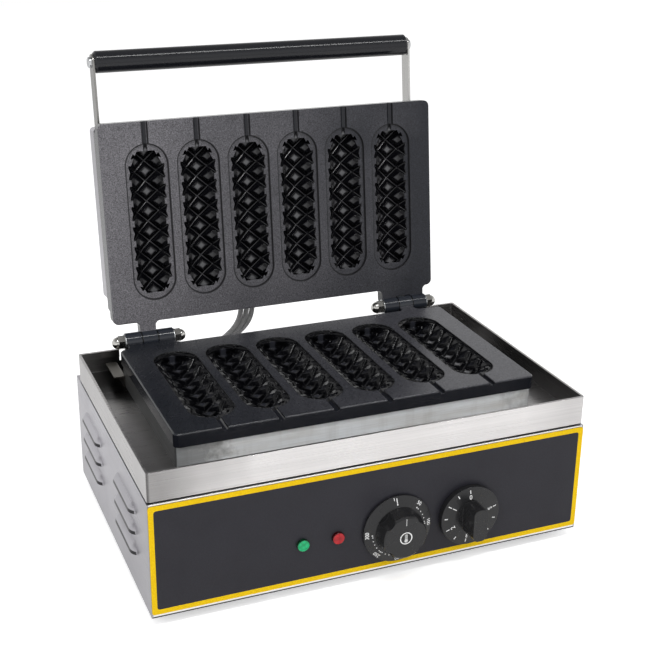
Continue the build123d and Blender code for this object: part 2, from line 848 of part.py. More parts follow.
def front_fascia():
    """Charcoal plate on the front panel, with a shallow seat for the coloured stripe round its edge."""
    plate = extrude(fascia_outline(0), fascia_thick)
    seat = extrude(fascia_outline(0), fascia_thick) - extrude(fascia_outline(stripe_width), fascia_thick)
    plate = plate - seat.moved(Pos(0, -(fascia_thick - stripe_depth), 0))
    y0, y1 = -half_depth - fascia_thick - overrun, -half_depth + overrun
    for x, z in control_screw_places():
        plate = plate - rod_y(control_screw_head_radius + fastener_gap, y0, y1, x, z)
    return plate - control_holes(y0, y1)


def fascia_stripe():
    stripe = extrude(fascia_outline(0), stripe_depth) - extrude(fascia_outline(stripe_width), stripe_depth)
    return stripe.moved(Pos(0, -(fascia_thick - stripe_depth), 0))


def foot_places():
    x, y = half_width - foot_inset_x, half_depth - foot_inset_y
    return [(sx * x, sy * y) for sx in (-1, 1) for sy in (-1, 1)]


def base_plate():
    """Bottom cover inside the turned-in foot of the walls, slotted for cooling air."""
    x = half_width - ledge_width + overrun
    inset = sheet + seat_gap
    plate = block(-half_width + inset, half_width - inset, -half_depth + inset, half_depth - inset,
                  inset, inset + sheet)
    for side in (-1, 1):
        for k in range(vent_slot_count):
            y = (k - (vent_slot_count - 1) / 2) * vent_slot_pitch
            slot = Pos(side * x / 2, y, 0) * extrude(SlotOverall(vent_slot_length, vent_slot_width),
                                                     3 * sheet)
            plate = plate - slot
    for place in foot_places():
        plate = plate - rod_z(foot_screw_radius + fastener_gap, -overrun, 3 * sheet, *place)
    plate = plate - screw_holes(body_screw_places(), -overrun, 3 * sheet)
    for place in terminal_screw_places():
        plate = plate - rod_z(terminal_screw_radius + fastener_gap, -overrun, 3 * sheet, *place)
    return plate


def side_screw_places():
    x = half_width - ledge_width / 2
    return [(sx * x, sy * side_screw_y) for sx in (-1, 1) for sy in (-1, 1)]


def end_screw_places(y):
    return [(sx * end_screw_x, y) for sx in (-1, 1)]


def body_screw_places():
    y = half_depth - ledge_width / 2
    return side_screw_places() + end_screw_places(y) + end_screw_places(-y)


def tray_screw_places():
    _, depth, mid = tray_outline()
    middle = (tray_foot + sheet) / 2
    ends = end_screw_places(mid + depth / 2 - middle) + end_screw_places(mid - depth / 2 + middle)
    return side_screw_places() + ends


def tray_screws():
    """Screws from under the ledge into the turned-in foot of the tray."""
    under = body_height - sheet
    return [rod_z(body_screw_radius, under, under + body_screw_grip - overrun, *place)
            + rod_z(body_screw_head_radius, under - body_screw_head, under, *place)
            for place in tray_screw_places()]


def screw_holes(places, z0, z1):
    return Part() + [rod_z(body_screw_radius + fastener_gap, z0, z1, *place) for place in places]


def body_screws():
    top = 2 * sheet + seat_gap + body_screw_grip
    return [rod_z(body_screw_radius, 0, top, *place)
            + rod_z(body_screw_head_radius, -body_screw_head, 0, *place) for place in body_screw_places()]


def foot(place):
    rubber = rod_z(foot_radius, -foot_height, sheet, *place)
    rubber = fillet(rubber.edges().group_by(Axis.Z)[0], foot_edge)
    rubber = rubber - rod_z(foot_screw_head_radius + seat_gap, -foot_height - overrun,
                            -foot_height + foot_well, *place)
    return rubber - rod_z(foot_screw_radius + fastener_gap, -foot_height, overrun, *place)


def foot_nut(place):
    base = 2 * sheet + seat_gap
    x, y = place
    nut = Pos(x, y, 0) * hexagon(foot_nut_flats, base, base + foot_nut_height)
    return nut - rod_z(foot_screw_radius + fastener_gap, 0, base + 2 * foot_nut_height, x, y)


def foot_screw(place):
    seat = -foot_height + foot_well
    return (rod_z(foot_screw_radius, seat - foot_screw_head, seat + foot_screw_length, *place)
            + rod_z(foot_screw_head_radius, seat - foot_screw_head, seat, *place))


def tray_outline():
    """Width, depth and middle of the tray."""
    width = body_width - 2 * tray_side_setback
    depth = body_depth - tray_front_setback - tray_back_setback
    return width, depth, (tray_front_setback - tray_back_setback) / 2


def drip_tray():
    """Deep tray whose walls stand on the ledge of the body, with a hemmed rim and a gap at the back."""
    width, depth, mid = tray_outline()
    inner_corner = tray_corner - sheet
    outer = slab(width, depth, tray_corner, body_height, tray_top, mid)
    inner = slab(width - 2 * sheet, depth - 2 * sheet, inner_corner, body_height - overrun,
                 tray_top + overrun, mid)
    floor = slab(width - sheet, depth - sheet, inner_corner, tray_floor - sheet, tray_floor, mid)
    hem_low = tray_top - hem_depth
    hem = slab(width - sheet, depth - sheet, inner_corner, hem_low, tray_top, mid)
    hem = hem - slab(width - 2 * hem_thick, depth - 2 * hem_thick, inner_corner, hem_low,
                     tray_top + overrun, mid)
    foot_ring = slab(width - sheet, depth - sheet, inner_corner, body_height, body_height + sheet, mid)
    foot_ring = foot_ring - slab(width - 2 * tray_foot, depth - 2 * tray_foot, tray_corner,
                                 body_height - overrun, body_height + 2 * sheet, mid)
    tray = (outer - inner) + floor + hem + foot_ring
    groove = slab(width + overrun, depth + overrun, tray_corner, body_height - overrun,
                  body_height + undercut_height, mid)
    tray = tray - (groove - slab(width - 2 * undercut, depth - 2 * undercut, inner_corner,
                                 body_height - 2 * overrun, body_height + overrun, mid))
    tray = tray - screw_holes(tray_screw_places(), body_height - overrun, body_height + 2 * sheet)
    back = mid + depth / 2
    tray = tray - block(-notch_half_width, notch_half_width, back - 2 * hem_thick, back + overrun,
                        tray_floor + notch_floor_rise, tray_top + overrun)
    z0, z1 = tray_floor - 2 * sheet, tray_floor + overrun
    for x, y in bay_places():
        tray = tray - rod_z(stud_radius + fastener_gap, z0, z1, x, y + hinge_y)
    for x, y in leg_places():
        tray = tray - rod_z(element_radius + leg_clearance, z0, z1, x, y + hinge_y)
    x, y, _ = capillary_points()[1]
    return tray - rod_z(capillary_radius + leg_clearance, z0, z1, x, y)


def plate_plinth():
    """Stainless frame under the lower plate's flange, with a foot on the tray floor."""
    width = plate_width - 2 * plinth_inset
    depth = plate_depth - 2 * plinth_inset
    mid = hinge_y + along(plate_depth / 2)
    outer = slab(width, depth, plate_corner, tray_floor, tray_floor + plinth_height, mid)
    inner = slab(width - 2 * sheet, depth - 2 * sheet, plate_corner - sheet, tray_floor - overrun,
                 tray_floor + plinth_height + overrun, mid)
    foot_ring = slab(width - sheet, depth - sheet, plate_corner - sheet, tray_floor, tray_floor + sheet, mid)
    foot_ring = foot_ring - slab(width - 2 * plinth_foot, depth - 2 * plinth_foot, plate_corner,
                                 tray_floor - overrun, tray_floor + 2 * sheet, mid)
    return (outer - inner) + foot_ring


def plinth_clip():
    """Small bent angle at the back left corner of the plinth, with its leaf turned outwards."""
    x1 = -plate_width / 2 + plinth_inset - seat_gap
    x0 = x1 - clip_width
    y0 = hinge_y + along(clip_start)
    y1 = y0 + clip_length
    top = tray_floor + clip_rise
    leaf = block(x0, x1, y0, y1, top - clip_leaf, top)
    web = block(x1 - clip_leaf, x1, y0, y1, tray_floor, top)
    return leaf + web


def insulation_lower():
    pad = lower(insulation_pad(-(hinge_z - axis_rise - tray_floor)))
    x, y, z = capillary_points()[1]
    return pad - rod_z(capillary_radius + leg_clearance, tray_floor - overrun, z, x, y)


def plate_studs():
    bottom = -(hinge_z - axis_rise - tray_floor) - sheet - stud_below_floor
    top = -floor_thick + stud_grip - seat_gap
    return [lower(rod_z(stud_radius, bottom, top, x, y)) for x, y in bay_places()]


def stud_nuts():
    top = -(hinge_z - axis_rise - tray_floor) - sheet
    bottom = top - stud_nut_height
    nut = hexagon(stud_nut_flats, bottom, top)
    nut = nut - rod_z(stud_radius + fastener_gap, bottom - overrun, top + overrun, 0, 0)
    return [lower(Pos(x, y, 0) * nut) for x, y in bay_places()]


# Controls on the front

def control_body(x, width, height, depth):
    """Switch block behind the panel with a threaded bush through it, bored for the shaft."""
    back = -half_depth + sheet
    housing = block(x - width / 2, x + width / 2, back, back + depth,
                    control_height - height / 2, control_height + height / 2)
    front = -half_depth - fascia_thick
    bush = rod_y(bush_radius, front, back, x, control_height)
    for px, pz in control_screw_places():
        housing = housing - rod_y(control_screw_radius + fastener_gap, back - overrun,
                                  back + control_screw_length, px, pz)
    bore = rod_y(shaft_radius + running_gap, front - overrun, back + depth / 2, x, control_height)
    return housing + bush - bore


def control_screw_places():
    return [(x + side * control_screw_offset, control_height)
            for x in (thermostat_x, timer_x) for side in (-1, 1)]


def control_screws():
    """Flat-headed screws under the knobs, through the panel into the control bodies."""
    face = -half_depth - fascia_thick
    tip = -half_depth + sheet + control_screw_length - seat_gap
    return [rod_y(control_screw_head_radius, face, -half_depth, x, z)
            + rod_y(control_screw_radius, -half_depth, tip, x, z)
            for x, z in control_screw_places()]


def control_shaft(x, depth):
    front = -half_depth - fascia_thick - dial_gap - shaft_in_knob
    return rod_y(shaft_radius, front, -half_depth + sheet + depth / 2 - seat_gap, x, control_height)


def turned(points, x):
    """Solid of revolution about a control's axis; points are radius and distance out of the fascia."""
    profile = make_face(Polyline(*points, close=True))
    solid = revolve(Plane.XZ * profile, Axis.Z)
    return Pos(x, -half_depth - fascia_thick, control_height) * Rot(90, 0, 0) * solid


def shaft_bore(x):
    face = -half_depth - fascia_thick - dial_gap
    end = face - shaft_in_knob - seat_gap
    return rod_y(shaft_radius + fastener_gap, face + overrun, end, x, control_height)


def thermostat_knob():
    """Round knob with a bevelled dial behind it and four finger hollows."""
    back = dial_gap
    rim = back + thermostat_dial_thick
    seat = rim + thermostat_dial_bevel
    points = [(0, back), (thermostat_dial_radius, back), (thermostat_dial_radius, rim),
              (thermostat_cap_base, seat), (thermostat_cap_top, thermostat_cap_proud - cap_edge),
              (thermostat_cap_top - cap_edge, thermostat_cap_proud), (0, thermostat_cap_proud)]
    knob = turned(points, thermostat_x)
    face = -half_depth - fascia_thick
    reach = thermostat_cap_top + scallop_radius - scallop_depth
    for k in range(scallop_count):
        angle = radians((k + 1 / 2) * 360 / scallop_count)
        knob = knob - rod_y(scallop_radius, face - seat, face - thermostat_cap_proud - overrun,
                            thermostat_x + reach * cos(angle), control_height + reach * sin(angle))
    return knob - shaft_bore(thermostat_x)


def timer_knob():
    """Round dial with a raised bar grip across it."""
    back = dial_gap
    rim = back + timer_dial_thick
    seat = rim + timer_dial_bevel
    points = [(0, back), (timer_dial_radius, back), (timer_dial_radius, rim), (timer_ring, seat), (0, seat)]
    dial = turned(points, timer_x)
    face = -half_depth - fascia_thick
    base = facing_front(timer_x, face - rim, control_height)
    front = facing_front(timer_x, face - timer_proud, control_height)
    grip = loft([base * RectangleRounded(timer_grip_width, 2 * timer_grip_base, timer_grip_width / 3),
                 front * RectangleRounded(timer_grip_width - 2 * grip_edge, 2 * timer_grip_face,
                                          timer_grip_width / 3)])
    return dial + grip - shaft_bore(timer_x)


def lamp_lens(x):
    """Coloured window that stands out of the fascia, with a collar behind the panel's hole."""
    face = -half_depth - fascia_thick
    window = rod_y(lamp_radius, face - lamp_proud, face, x, lamp_height)
    window = fillet(window.edges().group_by(Axis.Y)[0], lamp_edge)
    return window + rod_y(lamp_body_radius, face, -half_depth + sheet, x, lamp_height)


def lamp_body(x):
    start = -half_depth + sheet + seat_gap
    flange = rod_y(nut_ring_radius, start, start + nut_ring_thick, x, lamp_height)
    return flange + rod_y(lamp_body_radius, start, start + lamp_body_length, x, lamp_height)


# Temperature probe and wiring

def capillary_points():
    """Route of the fine tube from the bulb under the lower plate to the thermostat."""
    bulb_y = hinge_y + along(plate_depth / 2 + bulb_row_offset)
    bulb_z = hinge_z - axis_rise - floor_thick - seat_gap - bulb_radius
    down_x = bulb_end_x + 2 * capillary_bend
    body_y = -half_depth + sheet + thermostat_body_depth / 2
    body_top = control_height + thermostat_body_height / 2
    level = tray_floor - 4 * capillary_bend
    return [(bulb_end_x, bulb_y, bulb_z), (down_x, bulb_y, bulb_z), (down_x, bulb_y, level),
            (thermostat_x, body_y, level), (thermostat_x, body_y, body_top)]


def thermostat_probe():
    points = capillary_points()
    x, y, z = points[0]
    bulb = rod_x(bulb_radius, x - bulb_length, x, y, z)
    return bulb + tube(points, [capillary_bend] * 3, capillary_radius)


def terminal_centre_y():
    return half_depth - ledge_width - block_width


def terminal_screw_places():
    y = terminal_centre_y() - block_width / 2 + terminal_head_radius
    return [(block_x + side * terminal_screw_offset, y) for side in (-1, 1)]


def terminal_block():
    y = terminal_centre_y()
    x0, x1 = block_x - block_length / 2, block_x + block_length / 2
    floor = 2 * sheet + seat_gap
    middle, top = floor + block_height / 2, floor + block_height
    body = block(x0, x1, y - block_width / 2, y + block_width / 2, floor, middle)
    ridge = block(x0, x1, y - block_width / 6, y + block_width / 2, middle, top)
    for place in terminal_screw_places():
        body = body - rod_z(terminal_screw_radius + fastener_gap, 0, floor + block_height, *place)
    return body + ridge


def terminal_screws():
    top = 2 * sheet + seat_gap + block_height / 2
    return [rod_z(terminal_screw_radius, sheet, top, *place)
            + rod_z(terminal_head_radius, top, top + terminal_screw_head, *place)
            for place in terminal_screw_places()]


def wire(points):
    return tube(points, [4 * wire_radius] * (len(points) - 2), wire_radius)


def base_wiring():
    """Leads inside the body, each from its terminal to the back of a control."""
    back_t = -half_depth + sheet + thermostat_body_depth
    back_m = -half_depth + sheet + timer_body_depth
    y_block = terminal_centre_y() + block_width / 6
    top = 2 * sheet + seat_gap + block_height
    supply_x, return_x = block_x - block_length / 4, block_x + block_length / 4
    supply_end_x = timer_x - supply_offset
    leads = [wire([(supply_x, y_block, top), (supply_x, y_block, supply_level),
                   (supply_x, gather_y + wire_row, supply_level), (supply_end_x, gather_y, supply_level),
                   (supply_end_x, back_m, supply_level)]),
             wire([(return_x, y_block, top), (return_x, y_block, return_level),
                   (return_x, gather_y + wire_row, return_level), (return_end_x, gather_y, return_level),
                   (return_end_x, back_t, return_level)])]
    end_z = hinge_z - axis_rise - lower_leg_depth
    ends = [(rear_leg_end_x, rear_leg_level), (front_leg_end_x, front_leg_level)]
    for (x, y), (end_x, level) in zip(leg_places(), ends):
        leads.append(wire([(x, y + hinge_y, end_z), (x, y + hinge_y, level), (end_x, gather_y, level),
                           (end_x, back_t, level)]))
    start_y = lead_start_y() - seat_gap
    for offset in lead_offsets():
        leads.append(wire([(base_lead_x + offset, start_y, base_lead_height),
                           (base_lead_x + offset, start_y - wire_row, base_lead_height),
                           (thermostat_x + offset, gather_y, lid_wire_level),
                           (thermostat_x + offset, back_t, lid_wire_level)]))
    back_l = -half_depth + sheet + seat_gap + lamp_body_length
    for lamp_x, end_x, turn_y, level in ((green_lamp_x, green_end_x, green_turn_y, green_end_level),
                                         (red_lamp_x, red_end_x, red_turn_y, lamp_height)):
        leads.append(wire([(lamp_x, back_l, lamp_height), (lamp_x, turn_y, lamp_height),
                           (end_x, turn_y, level), (end_x, back_t, level)]))
    return leads


def lid_wiring():
    """Leads inside the lid, in the plate's own frame: two to the heater and one to a stand-off."""
    z = -lid_lead_depth
    start = along(lead_end_s() + seat_gap)
    leads = []
    for (x, y), offset in zip(leg_places(), (-lead_pitch, 0)):
        lead_x = -lid_lead_x + offset
        leads.append(wire([(lead_x, start, z), (lead_x, y, z), (x + element_radius + seat_gap, y, z)]))
    x, y = bay_places()[2]
    lead_x = -lid_lead_x + lead_pitch
    leads.append(wire([(lead_x, start, z), (lead_x, y, z), (x - standoff_radius - seat_gap, y, z)]))
    return leads


def cable_gland():
    """Strain relief body in the rear wall for the supply cable, with its nut and a clear bore."""
    y = half_depth
    inner, outer = y - sheet - gland_inner, y + gland_outer
    body = rod_y(gland_radius, inner, outer, gland_x, gland_height)
    body = chamfer(body.edges().group_by(Axis.Y)[-1], gland_radius / 4)
    flange = Rot(-90, 0, 0) * hexagon(2 * gland_nut_radius, 0, gland_nut_thick)
    body = body + Pos(gland_x, y + seat_gap, gland_height) * flange
    return body - rod_y(gland_bore, inner - overrun, outer + overrun, gland_x, gland_height)


def gland_nut():
    y = half_depth - sheet
    nut = Rot(90, 0, 0) * hexagon(2 * gland_nut_radius, 0, gland_nut_thick)
    bore = rod_y(gland_radius + fastener_gap, y - 2 * gland_nut_thick, y + overrun, gland_x, gland_height)
    return Pos(gland_x, y - seat_gap, gland_height) * nut - bore


def grommet_half_height():
    return lead_radius + grommet_margin


def lead_slot(half_height):
    """Slot for the leads through a wall that is square to Y, centred on the origin."""
    width = (lead_count - 1) * lead_pitch + 2 * half_height
    outline = Plane.XZ * SlotOverall(width, 2 * half_height)
    return extrude(outline, 2 * grommet_flange, both=True)


def grommet():
    """Flat rubber grommet for the leads, with a lip on both faces of the wall."""
    waist = extrude(Plane.XZ * SlotOverall((lead_count - 1) * lead_pitch + 2 * grommet_half_height(),
                                           2 * grommet_half_height()), sheet / 2 + seat_gap, both=True)
    lip_half = grommet_half_height() + grommet_lip
    lip = Plane.XZ * SlotOverall((lead_count - 1) * lead_pitch + 2 * lip_half, 2 * lip_half)
    near = extrude(lip, grommet_flange).moved(Pos(0, -(sheet / 2 + seat_gap), 0))
    far = extrude(lip, -grommet_flange).moved(Pos(0, sheet / 2 + seat_gap, 0))
    rubber = waist + near + far
    for x in lead_offsets():
        rubber = rubber - rod_y(lead_radius + seat_gap, -3 * grommet_flange, 3 * grommet_flange, x, 0)
    return rubber


def lead_offsets():
    return [(k - (lead_count - 1) / 2) * lead_pitch for k in range(lead_count)]


def base_grommet_place():
    return Pos(base_lead_x, half_depth - sheet / 2, base_lead_height)


def lid_grommet_place():
    """In the plate's own frame, where the lid is turned over, so X changes sign."""
    return Pos(-lid_lead_x, along(cover_hinge_inset) - cover_sheet / 2, -lid_lead_depth)


def open_point(s, depth):
    """Y and Z in the body frame of a point in the open lid."""
    angle = radians(open_angle)
    dy, dz = along(s), depth + axis_rise
    return hinge_y + dy * cos(angle) + dz * sin(angle), hinge_z - dy * sin(angle) + dz * cos(angle)


# Route of the middle lead behind the body, as steps from where it leaves the rear wall
lead_steps = [(0.0, 33.25, 0.0), (14.0, 38.25, 34.0), (40.0, 26.25, 62.0)]


def lead_start_y():
    return half_depth - sheet - 2 * grommet_flange


def lead_end_s():
    return cover_hinge_inset + cover_sheet + grommet_flange + seat_gap


def lid_leads():
    """Three sleeved leads from the rear of the body to the lid, side by side."""
    start = (base_lead_x, lead_start_y(), base_lead_height)
    y_near, z_near = open_point(cover_hinge_inset - 6 * grommet_flange, lid_lead_depth)
    y_end, z_end = open_point(lead_end_s(), lid_lead_depth)
    behind = [(base_lead_x + dx, half_depth + dy, base_lead_height + dz) for dx, dy, dz in lead_steps]
    route = [start] + behind + [(lid_lead_x, y_near, z_near), (lid_lead_x, y_end, z_end)]
    vectors = [Vector(*b) - Vector(*a) for a, b in zip(route, route[1:])]
    radii = []
    for first, second in zip(vectors, vectors[1:]):
        turn = radians(first.get_angle(second))
        radii.append(lead_bend_share * min(first.length, second.length) / tan(turn / 2))
    print("lead bend radii", [round(r, 1) for r in radii])
    leads = []
    for offset in lead_offsets():
        points = [(x + offset, y, z) for x, y, z in route]
        path = FilletPolyline(*points, radius=radii)
        lead = tube(points, radii, lead_radius)
        print("lead length", round(path.length, 1), "volume", round(lead.volume, 1))
        leads.append(lead)
    return leads


# Names and places

def middle_y():
    """Middle of the whole part from front to back, with the lid open."""
    front = half_depth + fascia_thick + timer_proud
    y_handle, _ = open_point(handle_s, arm_depth_mid)
    return (y_handle + grip_radius - front) / 2


def nodes():
    """Every named piece in the body frame."""
    yield "housing_shell", [housing_shell()]
    yield "front_panel", [front_panel()]
    yield "front_fascia", [front_fascia()]
    yield "fascia_stripe", [fascia_stripe()]
    yield "base_plate", [base_plate()]
    yield "body_screws", body_screws()
    yield "rubber_feet", [foot(p) for p in foot_places()]
    yield "foot_screws", [foot_screw(p) for p in foot_places()]
    yield "foot_nuts", [foot_nut(p) for p in foot_places()]
    yield "drip_tray", [drip_tray()]
    yield "tray_screws", tray_screws()
    yield "plate_plinth", [plate_plinth()]
    yield "plinth_clip", [plinth_clip()]
    yield "lower_plate", [lower(casting(lower_skirt_inset, False))]
    yield "lower_heating_element", [lower(heating_element(lower_leg_depth))]
    yield "lower_element_clamps", [lower(c) for c in clamp_bars()]
    yield "lower_clamp_screws", [lower(c) for c in clamp_screws()]
    yield "lower_insulation", [insulation_lower()]
    yield "plate_studs", plate_studs()
    yield "stud_nuts", stud_nuts()
    yield "hinge_pins", [lower(hinge_pin(x)) for x in (-hinge_offset, hinge_offset)]
    yield "hinge_washers", [lower(w) for w in hinge_washers()]
    yield "hinge_acorn_nuts", [lower(acorn_nut(x, side)) for x, side in hinge_ends()]
    yield "thermostat_body", [control_body(thermostat_x, thermostat_body_width, thermostat_body_height,
                                           thermostat_body_depth)]
    yield "thermostat_probe", [thermostat_probe()]
    yield "timer_body", [control_body(timer_x, timer_body_width, timer_body_height, timer_body_depth)]
    yield "control_screws", control_screws()
    yield "green_lamp_lens", [lamp_lens(green_lamp_x)]
    yield "red_lamp_lens", [lamp_lens(red_lamp_x)]
    yield "lamp_bodies", [lamp_body(x) for x in (green_lamp_x, red_lamp_x)]
    yield "terminal_block", [terminal_block()]
    yield "terminal_screws", terminal_screws()
    yield "base_wiring", base_wiring()
    yield "cable_gland", [cable_gland()]
    yield "gland_nut", [gland_nut()]
    yield "rear_lead_grommet", [grommet().moved(base_grommet_place())]
    yield "lid_leads", lid_leads()
    yield "upper_plate", [upper(casting(upper_skirt_inset, True))]
    yield "upper_heating_element", [upper(heating_element(upper_leg_depth))]
    yield "upper_element_clamps", [upper(c) for c in clamp_bars()]
    yield "upper_clamp_screws", [upper(c) for c in clamp_screws()]
    yield "upper_insulation", [upper(insulation_pad(-upper_pad_depth))]
    yield "cover_standoffs", [upper(p) for p in cover_standoffs()]
    yield "lid_wiring", [upper(w) for w in lid_wiring()]
    yield "lid_cover", [upper(lid_cover())]
    yield "cover_screws", [upper(s) for s in cover_screws()]
    yield "lid_lead_grommet", [upper(grommet().moved(lid_grommet_place()))]
    yield "left_handle_arm", [upper(handle_arm(1))]
    yield "right_handle_arm", [upper(handle_arm(-1))]
    yield "arm_screws", [upper(s) for s in arm_screws()]
    yield "handle_grip", [upper(handle_grip())]
    yield "handle_rod", [upper(handle_rod())]
    yield "handle_screws", [upper(s) for s in handle_screws()]
    yield "thermostat_shaft", [control_shaft(thermostat_x, thermostat_body_depth)]
    yield "thermostat_knob", [thermostat_knob()]
    yield "timer_shaft", [control_shaft(timer_x, timer_body_depth)]
    yield "timer_knob", [timer_knob()]


def main():
    os.makedirs("parts", exist_ok=True)
    placing = Pos(0, -middle_y(), foot_height)
    print("body frame moved by", round(-middle_y(), 3), "in y and", foot_height, "in z")
    for name, shapes in nodes():
        solids = [solid for shape in shapes for solid in (placing * shape).solids()]
        export_step(Compound(solids), f"parts/{name}.step")


main()
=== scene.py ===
import bpy
import bmesh
import json
import math
from mathutils import Matrix, Vector


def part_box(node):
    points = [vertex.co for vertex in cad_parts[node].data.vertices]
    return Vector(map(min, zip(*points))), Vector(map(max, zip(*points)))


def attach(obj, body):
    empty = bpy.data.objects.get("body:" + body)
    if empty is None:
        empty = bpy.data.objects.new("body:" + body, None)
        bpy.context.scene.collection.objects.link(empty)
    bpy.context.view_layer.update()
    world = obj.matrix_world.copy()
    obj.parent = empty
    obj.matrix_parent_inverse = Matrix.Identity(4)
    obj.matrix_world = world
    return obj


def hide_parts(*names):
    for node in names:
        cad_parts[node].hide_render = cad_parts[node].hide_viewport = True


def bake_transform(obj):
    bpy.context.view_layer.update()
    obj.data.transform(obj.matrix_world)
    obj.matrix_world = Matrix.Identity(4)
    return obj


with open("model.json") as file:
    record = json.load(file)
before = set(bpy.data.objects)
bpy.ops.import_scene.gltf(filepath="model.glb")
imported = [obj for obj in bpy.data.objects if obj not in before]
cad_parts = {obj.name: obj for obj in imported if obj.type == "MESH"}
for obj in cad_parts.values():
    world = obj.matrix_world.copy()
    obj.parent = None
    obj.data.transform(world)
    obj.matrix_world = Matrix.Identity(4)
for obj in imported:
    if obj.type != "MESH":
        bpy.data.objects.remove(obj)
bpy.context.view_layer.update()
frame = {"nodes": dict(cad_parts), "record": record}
nodes = frame["nodes"]
MM = 0.001

# Places that the materials follow, in metres, from the frame
lid_joint = next(j for j in frame["record"]["behaviour"]["joints"] if j["name"] == "lid_hinge")
HINGE = Vector(lid_joint["pos_m"])
OPEN = math.radians(lid_joint["range_deg"][1])
LID_NORMAL = Vector((0.0, -math.sin(OPEN), -math.cos(OPEN)))
LID_AWAY = Vector((0.0, -math.cos(OPEN), math.sin(OPEN)))
PLATE_NORMAL = Vector((0.0, 0.0, 1.0))
PLATE_AWAY = Vector((0.0, -1.0, 0.0))
BODY_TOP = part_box("housing_shell")[1].z
BODY_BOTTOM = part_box("front_panel")[0].z
WALL_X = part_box("front_panel")[1].x
TRAY_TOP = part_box("drip_tray")[1].z
TRAY_MIDDLE = (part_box("drip_tray")[0].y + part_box("drip_tray")[1].y) / 2
FASCIA_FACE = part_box("front_fascia")[0].y

# Sizes of the hinges and louvres, which repeat the part's
WASHER_THICKNESS = 1.2 * MM
KNUCKLES_HALF = 24.7 * MM
KNUCKLE_HALF = 8.3 * MM
HINGE_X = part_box("hinge_washers")[1].x - WASHER_THICKNESS - KNUCKLES_HALF
LOUVRES = 3
LOUVRE_LOWEST = 48.2 * MM
LOUVRE_PITCH = 21.0 * MM

# Sizes of the cavities in both plates, which repeat the part's. Along a plate they start at the hinge
PIT_PITCH = 53.2 * MM
PIT_RADIUS = 22.0 * MM
PIT_STRAIGHT = 57.25 * MM
PITS_HALF = 3 * PIT_PITCH
PLATE_MIDDLE = 119.45 * MM
HALF_CELL = 11.0 * MM
HALF_PITCH = 10.2 * MM


NOISE_RANGE = (0.3, 0.7)


